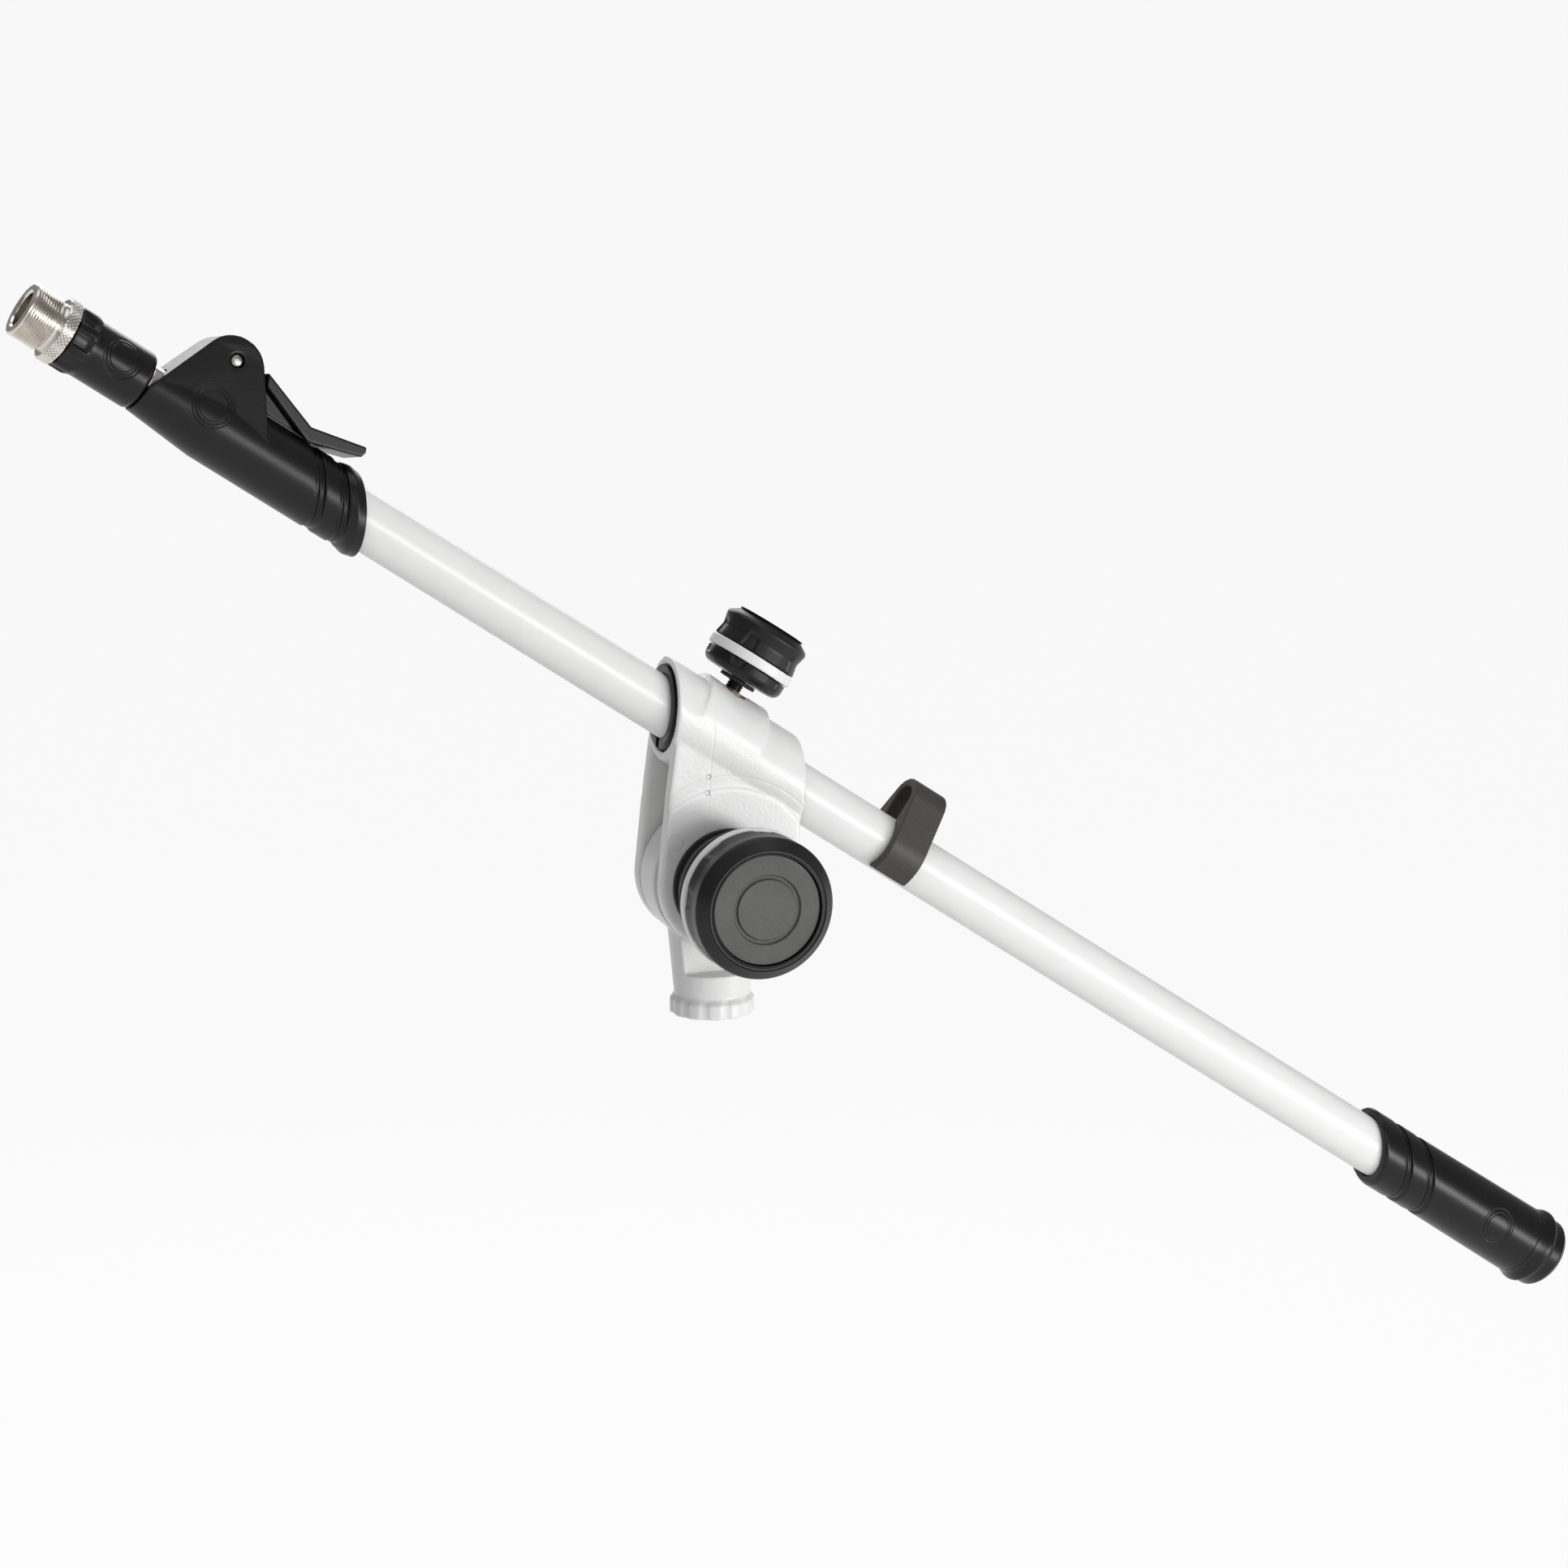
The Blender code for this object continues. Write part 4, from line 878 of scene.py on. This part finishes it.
def scoops(count, phase, foot, top, half_width, depth):
    """A rule that sinks count scoops, widest at the foot and gone at the top."""

    def shift(along, angle, radius):
        share = (along - foot) / (top - foot)
        if not -0.05 < share < 1.1:
            return 0.0
        pitch = 2 * math.pi / count
        off = abs((angle - phase + pitch / 2) % pitch - pitch / 2) * radius
        width = half_width * (1 - 0.35 * share)
        across = 1 - smooth_rise(off, width - 0.7, width + 0.5)
        up = 1 - smooth_rise(share, 0.8, 1.05)
        return -depth * (1 - 0.4 * share) * across * up

    return shift


def outer_only(shift, least):
    """Limits a rule to the outside of a ring."""
    return lambda along, angle, radius: shift(along, angle, radius) if radius > least else 0.0


def rubber_ring(back, front, bore, seat, sink, radii, bevel, rule, least):
    """A knob's rubber ring, with a raised lip round the disc's seat."""
    foot, waist, crest, edge = radii
    shoulder = front - bevel
    outline = [
        (back, bore),
        (back, foot),
        ((back + shoulder) / 2, waist),
        (shoulder, crest),
        (shoulder + 0.8, crest - 0.4),
        (front - 0.4, edge),
        (front, edge - 0.4),
        (front, seat + 1.5),
        (front - 0.35, seat + 1.15),
        (front - 0.35, seat + 0.5),
        (front, seat + 0.3),
        (front, seat),
        (front - sink, seat),
        (front - sink, bore),
    ]
    shape = turned(rows_between(softened(outline, 0.45), 0.35), 360)
    return pushed(shape, outer_only(rule, least))


def face_disc(back, front, radius, rings, softness):
    """A disc whose face holds ring grooves, each given as (radius, width, depth)."""
    outline = [(back, 0.02), (back, radius), (front, radius)]
    for ring, width, depth in rings:
        half, wall = width / 2, 0.2 * width
        outline += [
            (front, ring + half),
            (front - depth, ring + half - wall),
            (front - depth, ring - half + wall),
            (front, ring - half),
        ]
    return turned_solid([*outline, (front, 0.02)], softness)


print("knob rules ready")

# %% [markdown]
# The pivot knob is the large one. Its skirt is a long bell that opens from the washer on the
# ear to the white band, with a bead at its foot.

# %% Pivot knob


def washer(back, front, bore, radius, softness):
    """A flat ring between two places along the knob's axis."""
    ring = [(back, bore), (back, radius), (front, radius), (front, bore)]
    return turned(softened(ring, softness))


PIVOT_PHASE = math.radians(-26)
pivot_ring = washer(12.7, 14.2, BOLT_HOLE_R, 16.2, 0.3)
piece("pivot_ring", pivot_ring, pivot_knob, fibre, "pivot_carrier", "pivot_washer")
bell = [
    (14.5, 12.0),
    (14.5, 15.5),
    (16.2, 15.7),
    (16.6, 15.2),
    (17.3, 15.3),
    (17.7, 16.2),
    (27.5, 19.6),
    (28.0, 19.3),
    (28.6, 19.3),
    (29.0, 19.9),
    (30.2, 19.8),
    (31.0, 19.1),
    (31.0, 12.0),
]
bell_shape = turned(rows_between(softened(bell, 0.35), 0.4), 288)
pushed(bell_shape, outer_only(scoops(8, PIVOT_PHASE, 31.0, 28.9, 3.2, 0.5), 14))
piece("pivot_skirt", bell_shape, pivot_knob, black, "pivot_knob", "pivot_knob_skirt")
core = [
    (41.6, 6.6),
    (14.5, 6.6),
    (14.5, 11.7),
    (31.3, 11.7),
    (31.3, 20.6),
    (34.3, 20.6),
    (34.3, 11.7),
    (43.7, 11.7),
]
piece("pivot_core", turned_solid(core, 0.5), pivot_knob, rim_coat, "pivot_knob", "pivot_knob_core")
grip_rule = scoops(8, PIVOT_PHASE, 34.6, 39.5, 2.9, 0.35)
ring = rubber_ring(34.6, 46.8, 12.0, 15.9, 2.8, (20.3, 20.0, 20.4, 17.8), 3.4, grip_rule, 18.5)
piece("pivot_rubber", ring, pivot_knob, rubber, "pivot_knob", "pivot_knob_rubber")
disc = face_disc(44.0, 45.8, 15.6, [(9.3, 1.5, 0.80)], 0.2)
piece("pivot_disc", disc, pivot_knob, face_grey, "pivot_knob", "pivot_knob_disc")

# %% [markdown]
# The clamp knob is smaller and stands on a blackened screw. The screw's thread is a wave on a
# turned rod whose phase moves on with the angle, which makes a helix.

# %% Clamp knob


def thread_wave(along, angle, pitch):
    """A wave from 0 to 1 that moves on by one pitch a turn."""
    phase = (along / pitch + angle / (2 * math.pi)) % 1.0
    return 1 - abs(2 * phase - 1)


def threaded(low, high, radius, pitch, depth):
    """A rod whose surface carries a helical thread, with eight rows to a pitch."""
    count = round((high - low) / (pitch / 8))
    rows = [(low + (high - low) * i / count, radius) for i in range(count + 1)]
    end_r = radius - depth - 0.3
    shape = turned([(low, end_r), *rows, (high, end_r)], 72, closed=False)

    def helix(along, angle, at_radius):
        return -depth * thread_wave(along, angle, pitch) if at_radius > radius - 0.01 else 0.0

    return pushed(shape, helix)


screw = threaded(12.65, 25.1, 2.45, 0.8, 0.4)
piece("screw", screw, clamp_knob, dark_steel, "clamp_knob", "clamp_screw")
SCREW_HOLE_R = 2.75
clamp_ring = washer(17.0, 18.0, SCREW_HOLE_R, 5.5, 0.25)
piece("clamp_ring", clamp_ring, clamp_knob, fibre, "clamp_carrier", "clamp_washer")
small_round = arc((18.3 + 2.5, 9.9), 2.5, 160, 100, 4)
small_bell = [(18.3, 7.3), (18.3, 9.9), *small_round, (22.8, 12.4), (22.8, 7.3)]
small_skirt = turned(rows_between(softened(small_bell, 0.3), 0.35), 240)
CLAMP_PHASE = math.radians(-175)
pushed(small_skirt, outer_only(scoops(6, CLAMP_PHASE, 22.8, 20.2, 2.4, 0.5), 10))
piece("clamp_skirt", small_skirt, clamp_knob, black, "clamp_knob", "clamp_knob_skirt")
small_core = [
    (25.4, SCREW_HOLE_R),
    (18.3, SCREW_HOLE_R),
    (18.3, 7.0),
    (23.1, 7.0),
    (23.1, 13.1),
    (26.1, 13.1),
    (26.1, 7.0),
    (34.1, 7.0),
]
small_core_shape = turned_solid(small_core, 0.5)
piece("clamp_core", small_core_shape, clamp_knob, rim_coat, "clamp_knob", "clamp_knob_core")
small_rule = scoops(6, CLAMP_PHASE, 26.4, 31.6, 2.4, 0.6)
small_ring = rubber_ring(26.4, 36.2, 7.3, 8.9, 1.8, (12.8, 12.1, 12.9, 9.8), 2.9, small_rule, 11.4)
piece("clamp_rubber", small_ring, clamp_knob, rubber, "clamp_knob", "clamp_knob_rubber")
small_disc = face_disc(34.4, 35.6, 8.6, [(5.3, 0.9, 0.50)], 0.16)
piece("clamp_disc", small_disc, clamp_knob, face_grey, "clamp_knob", "clamp_knob_disc")

# %% [markdown]
# The quick-release housing is a tapered nylon body with a raised block for the lever's pin.
# Its two slanting grooves each hold a thin bead, which catches the light. The body is remade
# and smoothed, but the tail with the beads stays a turned shape, so that they stay crisp.

# %% Quick-release housing
HOUSING_R, NOSE_R, TAIL_R = 10.2, 8.3, 10.9
NOSE_TIP, NOSE_REAR, NOSE_SLOPE = -217.0, -196.0, 0.486
PIN_HOLE_R = 2.1


def beaded(centre, radius):
    """Profile points of a slanting groove with a bead at the bottom."""
    half, bottom = 1.2, radius - 0.8
    side = [(half + 0.4, radius), (half, bottom), (0.5, bottom), (0.3, bottom + 0.35)]
    return [
        *((centre - off, level, CUT_SLOPE) for off, level in side),
        *((centre + off, level, CUT_SLOPE) for off, level in reversed(side)),
    ]


def body_radius(along):
    nose = max(0.0, (NOSE_REAR - along) / (NOSE_REAR - NOSE_TIP))
    return HOUSING_R - nose * (HOUSING_R - NOSE_R)


def block_half_width(along, height):
    """Half the block's width: its drafted cheeks touch the round body."""
    return body_radius(along) / math.cos(DRAFT) - height * math.tan(DRAFT)


def pin_block():
    """The raised block that holds the lever's pin, with a round top."""
    foot = HOUSING_R * math.sin(DRAFT)
    front_foot = (NOSE_TIP + NOSE_SLOPE * (foot + 1.3), foot)
    rear_foot = (-180.4, foot)
    centre, radius = (-199.2, 15.0), 9.0
    rear_touch = tangent_angle(rear_foot, centre, radius, 1)
    front_touch = tangent_angle(front_foot, centre, radius, -1) % 360
    top = arc(centre, radius, rear_touch, front_touch, 40)
    outline = [front_foot, rear_foot, *top]
    shape = bmesh.new()
    sides = []
    for side in (-1, 1):
        sides.append([shape.verts.new((u, side * block_half_width(u, v), v)) for u, v in outline])
    near_side, far_side = sides
    for ring in sides:
        shape.faces.new(ring)
    for first in range(len(outline)):
        second = (first + 1) % len(outline)
        shape.faces.new((near_side[first], near_side[second], far_side[second], far_side[first]))
    bmesh.ops.recalc_face_normals(shape, faces=shape.faces)
    bmesh.ops.triangulate(shape, faces=shape.faces)
    return shape


def lever_room():
    """The slot that runs through the block and over the tail, where the lever lies."""
    return block((-205.0, -4.1, 10.4), (-139.0, 4.1, 37.4))


def pin_hole(*at):
    return faced(rod(-20, 20, PIN_HOLE_R, 64), (0, 1, 0), at)


housing_profile = [(NOSE_TIP, NOSE_R), (NOSE_REAR, HOUSING_R), (-163.9, HOUSING_R, CUT_SLOPE)]
tail_profile = [
    (-172.0, HOUSING_R - 0.8, CUT_SLOPE),
    *beaded(-162.5, HOUSING_R)[2:],
    *beaded(-154.5, HOUSING_R),
    (-150.4, TAIL_R, CUT_SLOPE),
    (-147.4, TAIL_R - 0.6, CUT_SLOPE),
    (-147.4, BORE_R, CUT_SLOPE),
    (-172.0, BORE_R, CUT_SLOPE),
]
slope_front = NOSE_TIP + 0.1
slope_top = slope_front + NOSE_SLOPE * 21.7
nose_wedge = [(-222.0, -1.3), (slope_front, -1.3), (slope_top, 20.4), (-222.0, 20.4)]
housing_steps = [
    ("DIFFERENCE", prism(nose_wedge, -20, 20)),
    ("UNION", pin_block()),
    ("DIFFERENCE", lever_room()),
    ("DIFFERENCE", block((-203.4, -4.1, 0.0), (-188.0, 4.1, 11.4))),
    ("DIFFERENCE", rod(-222, -186, 6.3)),
    ("DIFFERENCE", rod(-187, -127, BORE_R)),
    ("DIFFERENCE", pin_hole(PIN_ALONG, 0, PIN_HEIGHT)),
]
housing_mesh = carved(turned(housing_profile, closed=False), housing_steps, 0.30, 4)
piece("housing", housing_mesh, boom, housing_black, "boom", "qr_housing", sharp=180)
tail_mesh = carved(turned(softened(tail_profile, 0.3), 192), [("DIFFERENCE", lever_room())])
piece("housing_tail", tail_mesh, boom, housing_black, "boom")
half_pin = block_half_width(PIN_ALONG, PIN_HEIGHT) - 0.4
pin_end = [(half_pin - 0.6, 1.8), (half_pin - 0.2, 1.35), (half_pin, 0.7), (half_pin, 0.05)]
pin_profile = [(-x, r) for x, r in reversed(pin_end)] + pin_end
pin_shape = faced(turned_solid(pin_profile, 0.3, 64), (0, 1, 0))
piece("pin", pin_shape, lever, steel, "boom", "qr_pin")

# %% [markdown]
# The lever is cranked: a hub on the pin, whose lobe presses on the adapter's stem, a broad arm
# that lies along the housing, and a tip that a finger lifts. A web under the arm stiffens it and
# fills the dark space that shows below it. It is carved, remade and smoothed, like the housing.

# %% Lever
STEM_R = 6.0
lobe_r = PIN_HEIGHT - STEM_R - 0.35
lobe_angle = math.degrees(math.asin(3.2 / lobe_r))
hub_outline = [
    *arc((0, 0), 5.4, 70, 205, 24),
    *arc((0, 0), lobe_r, 270 - lobe_angle, 270 + lobe_angle, 10),
    (7.6, -1.2),
    (13.0, -1.8),
    (13.0, 0.3),
]
arm_top = [(10.8, -1.4), (9.5, 2.0), (27.2, -4.4), (43.6, -1.0)]
arm_outline = [*arm_top, (44.2, -2.4), (43.6, -4.1), (28.2, -8.5)]
web_outline = [(8.0, -2.0), (10.8, -0.6), (27.6, -7.6), (26.0, -8.4), (9.6, -6.5)]
lever_steps = [
    ("UNION", prism(web_outline, -3.7, 3.7)),
    ("UNION", prism(arm_outline, -6.9, 6.9)),
    ("DIFFERENCE", faced(rod(-80, 80, 10.7), (1, 0, 0), (0, 0, -PIN_HEIGHT))),
    ("DIFFERENCE", pin_hole(0, 0, 0)),
]
lever_mesh = carved(prism(hub_outline, -3.7, 3.7), lever_steps, 0.24, 3)
piece("release_lever", lever_mesh, lever, black, "lever", "qr_lever", sharp=180)

# %% [markdown]
# The adapter's threaded end is turned metal. Its thread is a helix like the screw's. The knurl
# behind it is a field of small four-sided points, which the tree lays in staggered rows.

# %% Threaded sleeve
KNURL_FRONT, KNURL_REAR = -245.4, -241.6
THREAD_LOW, THREAD_HIGH = -255.4, -246.7
PITCH = 0.79
STUD_BORE_R = 5.05
sleeve_profile = [
    (-254.8, STUD_BORE_R),
    (THREAD_LOW, 5.65),
    (THREAD_LOW, 7.3),
    (-255.0, 7.85),
    (THREAD_HIGH - 0.3, 7.85),
    (THREAD_HIGH, 7.2),
    (KNURL_FRONT, 7.2),
    (KNURL_FRONT, 8.8),
    (KNURL_FRONT + 0.4, 9.1),
    (KNURL_REAR - 0.4, 9.1),
    (KNURL_REAR, 8.8),
    (KNURL_REAR, STUD_BORE_R),
]
sleeve_shape = turned(rows_between(softened(sleeve_profile, 0.2), 0.1), 160)


def thread_rule(along, angle, radius):
    """A ridge that moves on by one pitch a turn, and fades out at both ends of the thread."""
    if radius < 7.6 or not THREAD_LOW < along < THREAD_HIGH:
        return 0.0
    front = smooth_rise(along, THREAD_LOW + 0.3, THREAD_LOW + 1.0)
    rear = smooth_rise(-along, -THREAD_HIGH, 0.8 - THREAD_HIGH)
    return 0.07 - 0.73 * (1 - thread_wave(along, angle, PITCH)) * (front * rear)


pushed(sleeve_shape, thread_rule)
piece("threaded_sleeve", sleeve_shape, boom, nickel, "thread", "thread_adapter", sharp=60)


def knurl_point(length, width, low, high):
    """A four-sided point that stands on a cylinder, with its base just inside."""
    shape = bmesh.new()
    base = [(-length / 2, 0), (0, -width / 2), (length / 2, 0), (0, width / 2)]
    foot = [shape.verts.new((x, y, low)) for x, y in base]
    tip = shape.verts.new((0, 0, high))
    shape.faces.new(foot)
    for first in range(4):
        shape.faces.new((foot[first], foot[(first + 1) % 4], tip))
    bmesh.ops.translate(shape, vec=(KNURL_FRONT + 0.65, 0, 0), verts=shape.verts)
    return shape


knurl_mark = knurl_point(1.2, 1.18, 9.0, 9.42)
knurl = repeated(knurl_mark, nickel, 50, rows=5, row_step=0.6, row_shift=0.5)
piece("knurl", knurl, boom, nickel, "thread", sharp=5)

# %% [markdown]
# The stem is a nickel plated rod with a thinner stud. The cap on it is nylon. Eight ridges with
# rounded ends stand round its front, made once and repeated by the tree.

# %% Adapter stem and cap


def bevelled(shape, width):
    """Breaks all the edges of a small shape."""
    bmesh.ops.recalc_face_normals(shape, faces=shape.faces)
    edges = shape.edges[:]
    bmesh.ops.bevel(shape, geom=edges, offset=width, segments=3, affect="EDGES", profile=0.5)
    return shape


stud = [(-250.0, 3.6), (-250.0, 4.75), (-217.0, 4.75)]
stem = turned_solid([*stud, (-217.0, STEM_R), (-189.5, STEM_R), (-189.5, 4.0)], 0.5)
piece("stem", stem, boom, nickel, "adapter", "adapter_stem")
cap_profile = [
    (-241.3, STUD_BORE_R),
    (-241.3, 9.2),
    (-240.2, 9.2),
    (-236.2, 8.75),
    (-234.8, 8.4),
    (-218.5, 8.4),
    (-217.3, 7.7),
    (-217.3, STUD_BORE_R),
]
cap_shape = turned(rows_between(softened(cap_profile, 0.45), 0.4), 240)
RIDGES, RIDGE_ANGLE = 8, math.radians(71.4)


def cap_hollows(along, angle, radius):
    """Hollows between the ridges, which run out towards the shoulder."""
    if radius < 7:
        return 0.0
    here = 1 - smooth_rise(along, -237.6, -234.8)
    return -0.75 * here * smooth_rise(-math.cos(RIDGES * (angle + RIDGE_ANGLE)), -0.75, 0.1)


pushed(cap_shape, cap_hollows)
piece("cap", cap_shape, boom, cap_black, "adapter", "adapter_cap")
ridge_side = [(-241.0, 7.7), (-241.0, 9.2), (-236.9, 9.2), (-235.0, 8.5), (-234.4, 7.7)]
ridge = bevelled(prism(ridge_side, -1.15, 1.15), 0.34)
ridges = repeated(ridge, cap_black, RIDGES, first_angle=RIDGE_ANGLE)
piece("cap_ridges", ridges, boom, cap_black, "adapter")

# %% [markdown]
# The rear grip slides over the tube's end, and a beaded cap plugs into it. Both are turned,
# with the same slanting grooves and beads as the housing.

# %% Rear grip and end cap
GRIP_R = 10.6
grip_profile = [
    (234.6, BORE_R, CUT_SLOPE),
    (234.6, 10.0, CUT_SLOPE),
    (235.6, GRIP_R, CUT_SLOPE),
    *beaded(244.4, GRIP_R),
    *beaded(253.6, GRIP_R),
    (296.0, 10.95),
    (298.8, 10.95),
    (REAR, 10.9),
    (REAR, BORE_R),
]
piece("grip", turned(softened(grip_profile, 0.3), 192), boom, grip_black, "boom", "counter_grip")
end_profile = [
    (290.3, 5.7),
    (291.1, 6.5),
    (299.02, 6.5),
    (299.02, 10.85),
    (299.2, 10.95),
    (300.6, 11.1),
    (302.0, 11.6),
    (303.2, 12.1),
    (304.3, 12.1),
    (305.1, 11.1),
    (309.0, 11.0),
    (310.3, 10.0),
    (311.3, 8.7),
    (312.2, 6.2),
    (312.6, 3.0),
]
piece("end_cap", turned_solid(end_profile, 0.45, 192), boom, grip_black, "boom", "counter_cap")

# %% [markdown]
# The cable clip snaps over the tube: a C round the tube with a closed loop above it for the
# cable. Its edges are well rounded, which the smoothing gives.

# %% Cable clip
CLIP_R, LOOP_R, LOOP_BORE_R, LOOP_HEIGHT = 11.2, 6.6, 4.2, 14.2
lean = math.degrees(math.asin((CLIP_R - LOOP_R) / LOOP_HEIGHT))
loop = arc((0, LOOP_HEIGHT), LOOP_R, lean, 90, 40)
half_outline = arc((0, 0), CLIP_R, -90, lean, 60) + loop
clip_outline = half_outline + [(-u, v) for u, v in reversed(half_outline[1:-1])]
channel_top = arc((0, LOOP_HEIGHT), LOOP_BORE_R, 0, 180, 40)
channel = [(-LOOP_BORE_R, 0.0), (LOOP_BORE_R, 0.0), *channel_top]
clip_steps = [
    ("DIFFERENCE", rod(-12, 12, BORE_R)),
    ("DIFFERENCE", block((-12, -23, -23), (12, 23, -7.5))),
    ("DIFFERENCE", prism(channel, -12, 12, along="X")),
]
clip_mesh = carved(prism(clip_outline, -5.7, 5.7, along="X"), clip_steps, 0.27, 6)
piece("cable_holder", clip_mesh, clip, clip_nylon, "clip", "cable_clip", sharp=180)

# %% [markdown]
# The bolt's six-sided head shows in the far ear. A bevel breaks its edges.

# %% Pivot bolt
bolt_head = bevelled(prism(hexagon(13.0), 12.4, 17.4), 0.5)
shank = faced(rod(-14.0, 41.0, 3.9, 64), (0, -1, 0))
bolt_mesh = carved(bolt_head, [("UNION", shank)])
piece("bolt", bolt_mesh, head, steel, "head", "pivot_bolt")

# %% Sizes and finish
for name, (low, high) in (("packed", cad_box), ("dressed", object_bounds())):
    print(name, [round(v / MM, 1) for v in low], [round(v / MM, 1) for v in high])
